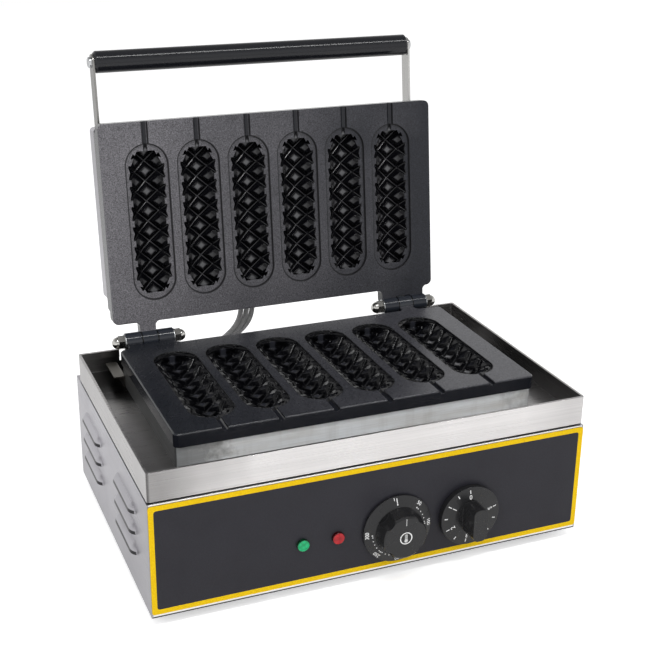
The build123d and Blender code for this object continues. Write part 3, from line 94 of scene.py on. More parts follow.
class Graph:
    """Shader nodes of one material or of the world, with a short word for each kind of step."""

    def __init__(self, tree, output_kind):
        self.tree = tree
        tree.nodes.clear()
        self.output = tree.nodes.new(output_kind)

    def new(self, kind, **settings):
        step = self.tree.nodes.new(kind)
        for key, value in settings.items():
            setattr(step, key, value)
        return step

    def feed(self, socket, value):
        """Link an output to a socket, or set the socket to a number, a vector or a colour."""
        if isinstance(value, bpy.types.NodeSocket):
            self.tree.links.new(value, socket)
        elif socket.type == "RGBA":
            socket.default_value = (*value, 1.0)
        else:
            socket.default_value = value

    def show(self, shader):
        """Make a shader the one that is seen."""
        self.feed(self.output.inputs["Surface"], shader)

    def math(self, operation, *values):
        step = self.new("ShaderNodeMath", operation=operation)
        for socket, value in zip(step.inputs, values):
            self.feed(socket, value)
        return step.outputs[0]

    def add(self, a, b):
        return self.math("ADD", a, b)

    def minus(self, a, b):
        return self.math("SUBTRACT", a, b)

    def times(self, a, *others):
        for other in others:
            a = self.math("MULTIPLY", a, other)
        return a

    def larger(self, a, *others):
        for other in others:
            a = self.math("MAXIMUM", a, other)
        return a

    def smaller(self, a, b):
        return self.math("MINIMUM", a, b)

    def size(self, a):
        return self.math("ABSOLUTE", a)

    def over(self, a, b):
        """1 where a is over b, otherwise 0."""
        return self.math("GREATER_THAN", a, b)

    def under(self, a, b):
        """1 where a is under b, otherwise 0."""
        return self.math("LESS_THAN", a, b)

    def distance(self, a, b):
        """Length of the two sides' diagonal."""
        return self.math("SQRT", self.add(self.times(a, a), self.times(b, b)))

    def remap(self, value, from_low, from_high, low, high):
        """Straight ramp from low to high, level beyond its ends."""
        step = self.new("ShaderNodeMapRange")
        names = ("Value", "From Min", "From Max", "To Min", "To Max")
        for name, number in zip(names, (value, from_low, from_high, low, high)):
            self.feed(step.inputs[name], number)
        return step.outputs[0]

    def spread(self, noise, low, high):
        """Ramp over the range that most of a noise's values lie in."""
        return self.remap(noise, *NOISE_RANGE, low, high)

    def band(self, value, middle, half, soft):
        """1 within half of the middle, falling to 0 over the soft width."""
        return self.remap(self.size(self.minus(value, middle)), half, half + soft, 1.0, 0.0)

    def mix(self, share, a, b):
        step = self.new("ShaderNodeMix", data_type="FLOAT")
        for socket, value in zip((step.inputs[0], step.inputs[2], step.inputs[3]), (share, a, b)):
            self.feed(socket, value)
        return step.outputs[0]

    def mix_color(self, share, a, b, blend="MIX"):
        step = self.new("ShaderNodeMix", data_type="RGBA", blend_type=blend)
        for socket, value in zip((step.inputs[0], step.inputs[6], step.inputs[7]), (share, a, b)):
            self.feed(socket, value)
        return step.outputs[2]

    def shade(self, color, level):
        """Colour times a grey level that is worked out in the nodes."""
        grey = self.new("ShaderNodeCombineColor")
        for socket in list(grey.inputs)[:3]:
            self.feed(socket, level)
        return self.mix_color(1.0, color, grey.outputs[0], "MULTIPLY")

    def place(self):
        return self.new("ShaderNodeTexCoord").outputs["Object"]

    def facing(self):
        return self.new("ShaderNodeNewGeometry").outputs["True Normal"]

    def ray(self, kind):
        return self.new("ShaderNodeLightPath").outputs[kind]

    def parts(self, vector):
        """The vector's x, y and z."""
        step = self.new("ShaderNodeSeparateXYZ")
        self.feed(step.inputs[0], vector)
        return step.outputs

    def part(self, vector, axis):
        return self.parts(vector)[axis]

    def vector_math(self, operation, a, b):
        step = self.new("ShaderNodeVectorMath", operation=operation)
        self.feed(step.inputs[0], a)
        self.feed(step.inputs[1], b)
        return step.outputs

    def stretched(self, vector, scale):
        return self.vector_math("MULTIPLY", vector, scale)["Vector"]

    def noise(self, vector, scale, detail=2.0, roughness=0.5):
        step = self.new("ShaderNodeTexNoise")
        self.feed(step.inputs["Vector"], vector)
        self.feed(step.inputs["Scale"], scale)
        self.feed(step.inputs["Detail"], detail)
        self.feed(step.inputs["Roughness"], roughness)
        return step.outputs["Fac"]

    def bevel(self, radius, samples=4):
        step = self.new("ShaderNodeBevel", samples=samples)
        self.feed(step.inputs["Radius"], radius)
        return step.outputs[0]

    def bump(self, height, strength, distance, normal=None):
        step = self.new("ShaderNodeBump")
        self.feed(step.inputs["Height"], height)
        self.feed(step.inputs["Strength"], strength)
        self.feed(step.inputs["Distance"], distance)
        if normal is not None:
            self.feed(step.inputs["Normal"], normal)
        return step.outputs[0]


def new_material(name):
    """Material with one Principled shader: the material, its graph, its colour's place and the shader."""
    material = bpy.data.materials.new(name)
    material.use_nodes = True
    graph = Graph(material.node_tree, "ShaderNodeOutputMaterial")
    shader = graph.new("ShaderNodeBsdfPrincipled")
    graph.show(shader.outputs[0])
    return material, graph, graph.place(), shader


def scaled(color, share):
    return tuple(min(1.0, value * share) for value in color)


# Brushed sheet
# Streaks: waves per metre along and across the brushing, detail and roughness of the noise
FINE_STREAKS = (7.0, 900.0, 3.0, 0.6)
BROAD_STREAKS = (2.0, 130.0, 2.0, 0.5)
ARM_STREAKS = (7.0 / 6, 150.0, 2.0, 0.5)
X_AXIS, Y_AXIS, Z_AXIS = range(3)
SIDE_FACING = 0.6
SHEET_EDGE = 0.8 * MM
STREAK_DEPTH = 0.12 * MM
TAN_STAIN = (0.30, 0.22, 0.11)
BROWN_STAIN = (0.20, 0.17, 0.12)


def streaks(graph, place, kind, axis):
    """Noise that is drawn out along one axis."""
    along, across, detail, roughness = kind
    scale = [across] * 3
    scale[axis] = along
    return graph.noise(graph.stretched(place, scale), 1.0, detail, roughness)


def level_streaks(graph, place, kind):
    """Level streaks on a sheet: along y on the sides and along x elsewhere."""
    side = graph.over(graph.size(graph.part(graph.facing(), X_AXIS)), SIDE_FACING)
    return graph.mix(side, streaks(graph, place, kind, X_AXIS), streaks(graph, place, kind, Y_AXIS))


def brushed_steel(name, tint, rough, upright=False, stain=0.0, tone=None, metal=1.0):
    """Brushed stainless: fine streaks along the sheet, soft smudges and slightly rounded edges."""
    material, graph, place, shader = new_material(name)
    if upright:
        fine = streaks(graph, place, FINE_STREAKS, Z_AXIS)
        broad = streaks(graph, place, ARM_STREAKS, Z_AXIS)
    else:
        fine = level_streaks(graph, place, FINE_STREAKS)
        broad = level_streaks(graph, place, BROAD_STREAKS)
    cloud = graph.noise(place, 9.0, 3.0, 0.6)
    color = graph.mix_color(graph.spread(fine, 0.0, 1.0), scaled(tint, 0.90), scaled(tint, 1.06))
    color = graph.mix_color(graph.remap(broad, 0.35, 0.65, 0.0, 0.25), color, scaled(tint, 0.82))
    color = graph.mix_color(graph.remap(cloud, 0.42, 0.75, 0.0, 0.22), color, scaled(tint, 0.72))
    if stain > 0:
        blot = graph.noise(graph.stretched(place, (14.0, 14.0, 60.0)), 1.0, 4.0, 0.6)
        color = graph.mix_color(graph.remap(blot, 0.40, 0.72, 0.0, stain), color, TAN_STAIN)
        drip = graph.noise(graph.stretched(place, (90.0, 90.0, 8.0)), 1.0, 3.0, 0.6)
        color = graph.mix_color(graph.remap(drip, 0.52, 0.8, 0.0, stain * 0.8), color, BROWN_STAIN)
    if tone is not None:
        color = graph.shade(color, tone(graph, place))
    polish = graph.mix(graph.spread(fine, 0.0, 1.0), rough - 0.05, rough + 0.07)
    polish = graph.add(polish, graph.remap(cloud, 0.4, 0.7, 0.0, 0.08))
    relief = graph.bump(fine, 0.16, STREAK_DEPTH, graph.bevel(SHEET_EDGE))
    graph.feed(shader.inputs["Base Color"], color)
    graph.feed(shader.inputs["Metallic"], metal)
    graph.feed(shader.inputs["Roughness"], polish)
    graph.feed(shader.inputs["Normal"], relief)
    return material


# Body: where the walls' painted front shade ends, the painted shadow line along each louvre's lip, and the
# painted shadow line along the front panel's bottom edge
WALL_SHADE_Y = (-0.15, 0.0)
LIP_PROUD_X = (WALL_X + 1.6 * MM, WALL_X + 2.4 * MM)
LIP_UP = 1.2 * MM
LIP_HALF = 1.6 * MM
LIP_SOFT = 0.6 * MM
# Heights over which the painted shadow along the front panel's bottom edge fades out
BOTTOM_SHADOW_Z = (BODY_BOTTOM + 1.2 * MM, BODY_BOTTOM + 1.6 * MM)


def housing_tone(graph, place):
    """Grey level of the walls: painted shade makes them a little darker in front, and a painted shadow line
    runs along each louvre's lip.
    """
    x, y, z = graph.parts(place)
    # Painted shadow along the lower lip of each louvre, on the bulge's outer part only
    rows = [graph.band(z, LOUVRE_LOWEST + k * LOUVRE_PITCH + LIP_UP, LIP_HALF, LIP_SOFT)
            for k in range(LOUVRES)]
    lip = graph.times(graph.larger(*rows), graph.remap(graph.size(x), *LIP_PROUD_X, 0.0, 1.0))
    return graph.mix(lip, graph.remap(y, *WALL_SHADE_Y, 0.86, 1.0), 0.10)


def front_tone(graph, place):
    """Grey level of the front panel: bright, with a painted shadow line along its bottom edge."""
    height = graph.part(place, Z_AXIS)
    return graph.remap(height, *BOTTOM_SHADOW_Z, 0.10, 1.0)


# Tray: places between which its painted shade and painted light change. A face looks inward where its
# normal times its place from the tray's middle is under INNER_SIDE
INNER_SIDE = -0.02
TRAY_DRIFT = 0.02
REAR_SHADE_Y = (0.0, 0.035)
FLOOR_Y = (-0.14, -0.01)
FRONT_LIGHT_Y = (-0.124, -0.112)
FRONT_LIGHT_X = (-0.175, -0.135)
RIGHT_LIGHT_X = (0.17, 0.19)
RIGHT_LIGHT_Y = (-0.09, -0.02)
RIM_DEPTH = 8.0 * MM
REAR_LEFT_X = (-0.21, -0.18)
SMUDGE_LEFT_X = (-0.205, -0.12)
SMUDGE_RIGHT_X = (0.15, 0.20)
CORNER_SHADE_X = (-0.2130, -0.2115)
# Below this height the tray is painted near black as the shadow in the seam between tray and body
SEAM_SHADOW_Z = BODY_TOP + 1.4 * MM


def tray_floor_tone(graph, x, y, drift):
    """Painted shade and light on the floor: dark at the back, lighter in front of the plinth and to its
    right.
    """
    back = graph.remap(graph.add(y, drift), *REAR_SHADE_Y, 0.0, 1.0)
    level = graph.mix(back, graph.remap(y, *FLOOR_Y, 0.42, 0.62), 0.05)
    strip = graph.times(graph.remap(y, *FRONT_LIGHT_Y, 1.0, 0.0),
                        graph.remap(graph.add(x, drift), *FRONT_LIGHT_X, 0.0, 1.0))
    level = graph.mix(strip, level, 1.0)
    right = graph.remap(x, *RIGHT_LIGHT_X, 0.0, 1.0)
    return graph.mix(right, level, graph.remap(y, *RIGHT_LIGHT_Y, 0.95, 0.25))


def tray_inside_tone(graph, x, ny, inner):
    """Painted shade and painted reflections inside: dark side walls, the left darker than the right, a
    bright front wall, and a rear wall that is bright at its ends.
    """
    on_right = graph.over(x, 0.0)
    wall = graph.mix(graph.over(ny, 0.5), graph.mix(on_right, 0.10, 0.40), 0.90)
    rear = graph.times(graph.under(ny, -0.5), inner)
    return graph.mix(rear, wall, graph.mix(on_right, graph.remap(x, *REAR_LEFT_X, 0.75, 0.22), 0.95))


def tray_outside_tone(graph, x, ny, drift):
    """Front with a smudge at its left end, a softer one at its right and a painted shade line at its left
    corner; painted shade evenly darkens the sides.
    """
    smudge = graph.remap(graph.add(x, drift), *SMUDGE_LEFT_X, 0.45, 1.0)
    smudge = graph.times(smudge, graph.remap(x, *SMUDGE_RIGHT_X, 1.0, 0.84))
    corner = graph.remap(x, *CORNER_SHADE_X, 0.45, 1.0)
    return graph.mix(graph.under(ny, -0.5), 0.66, graph.times(smudge, corner))


def tray_tone(graph, place):
    """Grey level of the tray: clean outside but for smudges and painted shade, painted shade and
    reflections inside, and a painted shadow in the seam under it.
    """
    x, y, z = graph.parts(place)
    nx, ny, nz = graph.parts(graph.facing())
    outward = graph.add(graph.times(nx, x), graph.times(ny, graph.minus(y, TRAY_MIDDLE)))
    inner = graph.under(outward, INNER_SIDE)
    drift = graph.spread(graph.noise(place, 14.0), -TRAY_DRIFT, TRAY_DRIFT)
    walls = graph.mix(inner, tray_outside_tone(graph, x, ny, drift), tray_inside_tone(graph, x, ny, inner))
    on_floor = graph.times(graph.over(nz, 0.5), graph.under(z, TRAY_TOP - RIM_DEPTH))
    level = graph.mix(on_floor, walls, tray_floor_tone(graph, x, y, drift))
    # Painted shadow: near black in the seam under the tray
    return graph.mix(graph.under(z, SEAM_SHADOW_Z), level, 0.02)


# Plinth: where its front is burnt and marked
PLINTH_DRIFT = 0.022
BURNT_X = (-0.155, -0.125)
MARKED_X = (0.150, 0.172)


def plinth_tone(graph, place):
    """Grey level of the plinth: painted shade darkens its sides, bright in front with burnt ends."""
    x = graph.part(place, X_AXIS)
    ny = graph.part(graph.facing(), Y_AXIS)
    drift = graph.spread(graph.noise(place, 60.0, 4.0, 0.6), -PLINTH_DRIFT, PLINTH_DRIFT)
    drifted = graph.add(x, drift)
    burnt = graph.remap(drifted, *BURNT_X, 0.42, 1.0)
    marked = graph.remap(drifted, *MARKED_X, 1.0, 0.72)
    # Painted shade: every face but the front at a tenth of the front's level
    return graph.mix(graph.under(ny, -0.5), 0.10, graph.times(burnt, marked))


# Cast plates
# Across these places the cooking face's colour runs from its left colour to its right one: a painted light
# gradient
COAT_LIGHT_X = (-0.17, 0.15)
COAT_DRIFT = 0.04
COAT_EDGE = 0.5 * MM
GRAIN_DEPTH = 0.22 * MM
STUD_DEPTH = 4.5 * MM
STUD_FLAT = 0.7
KNUCKLE_FROM = (0.6 * MM, 1.6 * MM)
DARK_FADE = 0.6 * MM
LINE_SOFT = 0.4 * MM
LINE_HALF = 0.5 * MM
GROOVE_LINE = 2.9 * MM
GROOVE_LINE_HALF = 0.4 * MM
RIM_INSET = 0.3 * MM
OUTLINE_DEPTH = (-1.1 * MM, 1.3 * MM, 0.3 * MM)
STUD_ROW = (4.0 * MM, 12.0 * MM)
CHANNEL_SHADE = (0.0025, 0.0025, 0.0035)
COAT_DARK = (0.010, 0.011, 0.015)
OUTLINE_SHADOW = (0.003, 0.003, 0.004)
KNUCKLE_SHEEN = (0.018, 0.021, 0.028)
GAP_SHADOW = (0.0, 0.0, 0.0)


def stud_height(graph, across, along):
    """0 along the crossing channels of a cavity and 1 in the middle of each of its studs."""
    u = graph.math("DIVIDE", across, HALF_CELL)
    v = graph.math("DIVIDE", graph.minus(along, PLATE_MIDDLE), HALF_PITCH)
    heights = []
    for operation in ("ADD", "SUBTRACT"):
        turn = graph.times(graph.math(operation, u, v), 0.5)
        from_half = graph.size(graph.minus(graph.math("FRACT", turn), 0.5))
        heights.append(graph.minus(1.0, graph.times(from_half, 2.0)))
    return graph.smaller(*heights)


def across_pit(graph, x):
    """Way from the long middle line of the nearest cavity."""
    cell = graph.math("FLOOR", graph.math("DIVIDE", x, PIT_PITCH))
    return graph.minus(x, graph.times(graph.add(cell, 0.5), PIT_PITCH))


def pit_masks(graph, x, across, along, solid_groove):
    """Mask of the cavities, and of the painted shadow line round each cavity and in its stick groove."""
    on_plate = graph.under(graph.size(x), PITS_HALF)
    from_middle = graph.size(graph.minus(along, PLATE_MIDDLE))
    past_straight = graph.larger(graph.minus(from_middle, PIT_STRAIGHT), 0.0)
    from_core = graph.distance(across, past_straight)
    inside = graph.times(on_plate, graph.under(from_core, PIT_RADIUS))
    outline_shadow = graph.band(from_core, PIT_RADIUS - RIM_INSET, LINE_HALF, LINE_HALF)
    beyond = graph.over(graph.minus(along, PLATE_MIDDLE), PIT_STRAIGHT + PIT_RADIUS - 2 * RIM_INSET)
    if solid_groove:
        groove = graph.band(across, 0.0, GROOVE_LINE, LINE_SOFT / 2)
    else:
        groove = graph.band(across, GROOVE_LINE, GROOVE_LINE_HALF, LINE_SOFT)
    return inside, graph.times(graph.larger(outline_shadow, graph.times(groove, beyond)), on_plate)


def cast_coat(name, normal, away, left, right, rough, studs, level, gloss, dark_from, solid_groove):
    """Cast plate under a dark non-stick coat: grained cooking face with a painted light gradient across it,
    smooth dark hollows with studs, painted highlights on the stud tops and channel lines over painted
    shade, painted shadows round each cavity, in its stick groove and between the knuckles, and a painted
    sheen on the knuckles.
    """
    material, graph, place, shader = new_material(name)
    from_hinge = graph.vector_math("SUBTRACT", place, HINGE)["Vector"]
    height = graph.vector_math("DOT_PRODUCT", from_hinge, normal)["Value"]
    along = graph.vector_math("DOT_PRODUCT", from_hinge, away)["Value"]
    x = graph.part(place, X_AXIS)
    below = graph.remap(graph.times(height, -1.0), dark_from, dark_from + DARK_FADE, 0.0, 1.0)
    above = graph.remap(height, *KNUCKLE_FROM, 0.0, 1.0)
    smooth = graph.larger(below, above)
    grain = graph.noise(place, 900.0, 2.0, 0.6)
    coarse = graph.noise(place, 420.0, 3.0, 0.6)
    cloud = graph.noise(place, 11.0, 3.0, 0.55)
    signed_across = across_pit(graph, x)
    stud = stud_height(graph, signed_across, along)
    across = graph.size(signed_across)
    inside, outline_shadow = pit_masks(graph, x, across, along, solid_groove)
    in_hollow = graph.times(below, inside)

    # Painted light: the face is lighter at the left on the lid and at the right on the lower plate
    drifted = graph.add(x, graph.spread(cloud, -COAT_DRIFT, COAT_DRIFT))
    face = graph.mix_color(graph.remap(drifted, *COAT_LIGHT_X, 0.0, 1.0), left, right)
    speckle = graph.mix(graph.remap(grain, 0.35, 0.7, 0.0, 1.0), 0.50, 1.65)
    # Painted highlights on the stud tops and along the channel bottoms, strongest in the middle row, over
    # painted shade elsewhere in the hollow
    near_middle = graph.remap(across, *STUD_ROW, 1.0, 0.12)
    stud_top_highlight = graph.times(graph.remap(stud, 0.55, 0.78, 0.0, 1.0), near_middle)
    channel_highlight = graph.times(graph.remap(stud, 0.04, 0.10, 0.5, 0.0), near_middle)
    hollow = graph.mix_color(graph.larger(stud_top_highlight, channel_highlight), CHANNEL_SHADE, studs)
    color = graph.mix_color(smooth, graph.shade(face, speckle), COAT_DARK)
    # Painted sheen: the knuckles above the face get a lighter, bluer colour than the coat round them
    color = graph.mix_color(above, color, KNUCKLE_SHEEN)
    color = graph.mix_color(in_hollow, color, hollow)
    # Painted shadow round each cavity's rim and along its stick groove, only near the face's level
    near_face = graph.band(height, *OUTLINE_DEPTH)
    color = graph.mix_color(graph.times(outline_shadow, near_face, 0.88), color, OUTLINE_SHADOW)
    # Painted shadow in the gaps between the hinge knuckles
    from_knuckles = graph.size(graph.minus(graph.size(x), HINGE_X))
    gap_shadow = graph.times(above, graph.band(from_knuckles, KNUCKLE_HALF, LINE_HALF, LINE_SOFT))
    color = graph.mix_color(gap_shadow, color, GAP_SHADOW)

    matt = graph.mix(graph.spread(coarse, 0.0, 1.0), rough - 0.06, rough + 0.08)
    polish = graph.mix(smooth, matt, graph.spread(coarse, gloss - 0.04, gloss + 0.09))
    relief = graph.times(graph.add(grain, graph.times(coarse, 0.9)), graph.mix(smooth, 1.0, 0.35))
    grained = graph.bump(relief, 0.30, GRAIN_DEPTH, graph.bevel(COAT_EDGE, 6))
    pyramid = graph.times(graph.smaller(stud, STUD_FLAT), in_hollow)
    graph.feed(shader.inputs["Base Color"], color)
    graph.feed(shader.inputs["Roughness"], polish)
    graph.feed(shader.inputs["Specular IOR Level"], level)
    graph.feed(shader.inputs["Normal"], graph.bump(pyramid, 1.0, STUD_DEPTH, grained))
    return material


FINE_DEPTH = 0.1 * MM


def plastic(name, color, rough, grain=900.0, relief=0.1, edge=0.6 * MM, wear=0.5, level=0.5):
    """Plastic, paint or rubber: fine grain, faint clouds and rounded edges."""
    material, graph, place, shader = new_material(name)
    speck = graph.noise(place, grain)
    cloud = graph.noise(place, 25.0, 3.0, 0.55)
    lighter = tuple(min(1.0, value * 1.5 + 0.002) for value in color)
    mottled = graph.mix_color(graph.remap(speck, 0.35, 0.7, 0.0, 0.5), color, lighter)
    mottled = graph.mix_color(graph.remap(cloud, 0.4, 0.7, 0.0, wear), mottled, scaled(color, 0.8))
    graph.feed(shader.inputs["Base Color"], mottled)
    graph.feed(shader.inputs["Specular IOR Level"], level)
    graph.feed(shader.inputs["Roughness"], graph.remap(cloud, 0.35, 0.7, rough - 0.03, rough + 0.06))
    graph.feed(shader.inputs["Normal"], graph.bump(speck, relief, FINE_DEPTH, graph.bevel(edge)))
    return material


PLATED_EDGE = 0.5 * MM


def plated(name, tint, rough):
    """Plated or drawn metal with a faintly clouded surface."""
    material, graph, place, shader = new_material(name)
    grain = graph.noise(place, 700.0)
    cloud = graph.noise(place, 60.0)
    color = graph.mix_color(graph.remap(cloud, 0.35, 0.7, 0.0, 0.6), tint, scaled(tint, 0.78))
    graph.feed(shader.inputs["Base Color"], color)
    graph.feed(shader.inputs["Metallic"], 1.0)
    graph.feed(shader.inputs["Roughness"], graph.spread(cloud, rough, rough + 0.1))
    graph.feed(shader.inputs["Normal"], graph.bump(grain, 0.08, FINE_DEPTH, graph.bevel(PLATED_EDGE)))
    return material


LENS_EDGE = 0.9 * MM
LENS_DEPTH = 0.2 * MM


def lens(name, deep, light, part):
    """Coloured lamp window: clear gloss over a ribbed, unlit interior, with painted shade darkening its
    rim.
    """
    material, graph, place, shader = new_material(name)
    low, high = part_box(part)
    radius = (high.x - low.x) / 2
    across = graph.minus(graph.part(place, X_AXIS), (low.x + high.x) / 2)
    up = graph.minus(graph.part(place, Z_AXIS), (low.z + high.z) / 2)
    from_middle = graph.distance(across, up)
    cell = graph.new("ShaderNodeTexVoronoi")
    graph.feed(cell.inputs["Scale"], 330.0)
    graph.feed(cell.inputs["Vector"], place)
    ribs = cell.outputs["Distance"]
    color = graph.mix_color(graph.remap(ribs, 0.1, 0.9, 0.0, 0.8), light, deep)
    # Painted shade: a dark ring round the lens's rim
    rim = graph.remap(from_middle, radius * 0.84, radius * 0.97, 0.0, 1.0)
    graph.feed(shader.inputs["Base Color"], graph.mix_color(rim, color, scaled(deep, 0.12)))
    graph.feed(shader.inputs["Roughness"], graph.spread(graph.noise(place, 120.0), 0.07, 0.14))
    graph.feed(shader.inputs["Specular IOR Level"], 0.3)
    graph.feed(shader.inputs["Coat Weight"], 0.2)
    graph.feed(shader.inputs["Coat Roughness"], 0.04)
    graph.feed(shader.inputs["Normal"], graph.bump(ribs, 0.20, LENS_DEPTH, graph.bevel(LENS_EDGE)))
    return material


WEAVE_TURNS = 4200.0
WEAVE_DEPTH = 0.3 * MM


def braid(name):
    """Woven glass-fibre sleeve."""
    material, graph, place, shader = new_material(name)
    x, y, z = graph.parts(place)
    over = graph.math("SINE", graph.times(graph.add(graph.add(x, y), z), WEAVE_TURNS))
    under = graph.math("SINE", graph.times(graph.minus(graph.add(x, y), z), WEAVE_TURNS))
    weave = graph.times(over, under)
    fuzz = graph.noise(place, 1500.0, 2.0, 0.6)
    color = graph.mix_color(graph.remap(weave, -1.0, 1.0, 0.0, 1.0), (0.30, 0.30, 0.30), (0.62, 0.62, 0.61))
    color = graph.mix_color(graph.spread(fuzz, 0.0, 0.4), color, (0.50, 0.50, 0.50))
    graph.feed(shader.inputs["Base Color"], color)
    graph.feed(shader.inputs["Roughness"], graph.spread(fuzz, 0.6, 0.8))
    graph.feed(shader.inputs["Sheen Weight"], 0.2)
    graph.feed(shader.inputs["Normal"], graph.bump(weave, 0.5, WEAVE_DEPTH))
    return material


PRINT = plastic("dial_print", (0.80, 0.80, 0.80), 0.50, relief=0.03, edge=0.1 * MM, wear=0.2)
SLEEVE = braid("grey_sleeve")

by_slot = {
    "stainless": brushed_steel("brushed_steel", (0.48, 0.47, 0.50), 0.30, tone=housing_tone),
    "stained_stainless": brushed_steel("brushed_steel_stained", (0.80, 0.83, 0.85), 0.42, stain=0.30,
                                       tone=plinth_tone, metal=0.15),
    "zinc_steel": plated("zinc_steel", (0.60, 0.61, 0.62), 0.26),
    "fascia_paint": plastic("fascia_paint", (0.020, 0.0195, 0.025), 0.40, grain=1400.0, relief=0.12,
                            edge=0.4 * MM, wear=0.35, level=0.22),
    "stripe_yellow": plastic("stripe_yellow", (0.79, 0.495, 0.004), 0.55, relief=0.06,
                             edge=0.2 * MM, wear=0.2, level=0.12),
    # left and right paint a light gradient across the face; studs is the painted highlight on the stud tops
    "cast_plate": cast_coat("cast_coat", PLATE_NORMAL, PLATE_AWAY, left=(0.0085, 0.0100, 0.0140),
                            right=(0.052, 0.052, 0.060), rough=0.30, studs=(0.022, 0.023, 0.029),
                            level=0.45, gloss=0.10, dark_from=0.7 * MM, solid_groove=True),
    "chrome": plated("chrome", (0.62, 0.61, 0.58), 0.09),
    "element_sheath": plated("element_sheath", (0.24, 0.23, 0.21), 0.42),
    "fibre_pad": plastic("fibre_pad", (0.68, 0.66, 0.58), 0.92, grain=500.0, relief=0.5, edge=1.0 * MM),
    "grip_black": plastic("grip_black", (0.009, 0.0095, 0.012), 0.14, grain=700.0, relief=0.05,
                          edge=0.8 * MM, wear=0.3, level=0.36),
    "knob_black": plastic("knob_black", (0.012, 0.012, 0.013), 0.27, grain=1200.0,
                          edge=0.7 * MM, wear=0.3, level=0.40),
    "lens_green": lens("lens_green", (0.001, 0.20, 0.065), (0.006, 0.50, 0.19), "green_lamp_lens"),
    "lens_red": lens("lens_red", (0.24, 0.002, 0.005), (0.54, 0.010, 0.018), "red_lamp_lens"),
    "black_rubber": plastic("foot_rubber", (0.014, 0.014, 0.014), 0.72, grain=600.0, relief=0.2, wear=0.4),
    "grey_sleeve": SLEEVE,
    "wire_cover": plastic("wire_cover", (0.48, 0.47, 0.42), 0.60),
    "control_case": plastic("control_case", (0.66, 0.63, 0.55), 0.50),
    "probe_copper": plated("probe_copper", (0.72, 0.42, 0.28), 0.25),
    "gland_black": plastic("gland_black", (0.018, 0.018, 0.018), 0.45)}

# Nodes that look different from the rest of their slot
by_node = {
    "drip_tray": brushed_steel("brushed_steel_tray", (0.76, 0.74, 0.735), 0.26, tone=tray_tone),
    # The front panel is the body's stainless at a far lighter tint: a lit copy, with painted light on its
    # bright edges
    "front_panel": brushed_steel("brushed_steel_front_painted_light", (0.95, 0.95, 0.96), 0.30, tone=front_tone),
    "plinth_clip": brushed_steel("brushed_steel_clip", (0.20, 0.19, 0.172), 0.35),
    # left and right paint a light gradient across the face; studs is the painted highlight on the stud tops
    "upper_plate": cast_coat("cast_coat_lid", LID_NORMAL, LID_AWAY, left=(0.128, 0.124, 0.135),
                             right=(0.012, 0.013, 0.018), rough=0.46, studs=(0.085, 0.085, 0.090),
                             level=0.34, gloss=0.12, dark_from=2.3 * MM, solid_groove=False),
    # The arms are one brushed steel in lit and shaded copies: the left tinted darker as painted shade, the
    # right lighter as painted light
    "left_handle_arm": brushed_steel("left_arm_steel_painted_shade", (0.30, 0.295, 0.285), 0.24, upright=True),
    "right_handle_arm": brushed_steel("right_arm_steel_painted_light", (0.57, 0.565, 0.55), 0.24, upright=True)}

for part in frame["record"]["subparts"]:
    material = by_node.get(part["node"], by_slot[part["material_slot"]])
    nodes[part["node"]].data.materials.clear()
    nodes[part["node"]].data.materials.append(material)


def add_object(name, data):
    added = bpy.data.objects.new(name, data)
    bpy.context.scene.collection.objects.link(added)
    return added


# Printed marks on the dials: sizes in millimetres, angles in degrees, clockwise from the top
PRINT_LIFT = 0.06 * MM
BAR_STEPS = 4
DOT_SIDES = 12
RING_SIDES = 32
DIGIT_SHARE = 0.7
DIGIT_WEIGHT_SHARE = 0.02


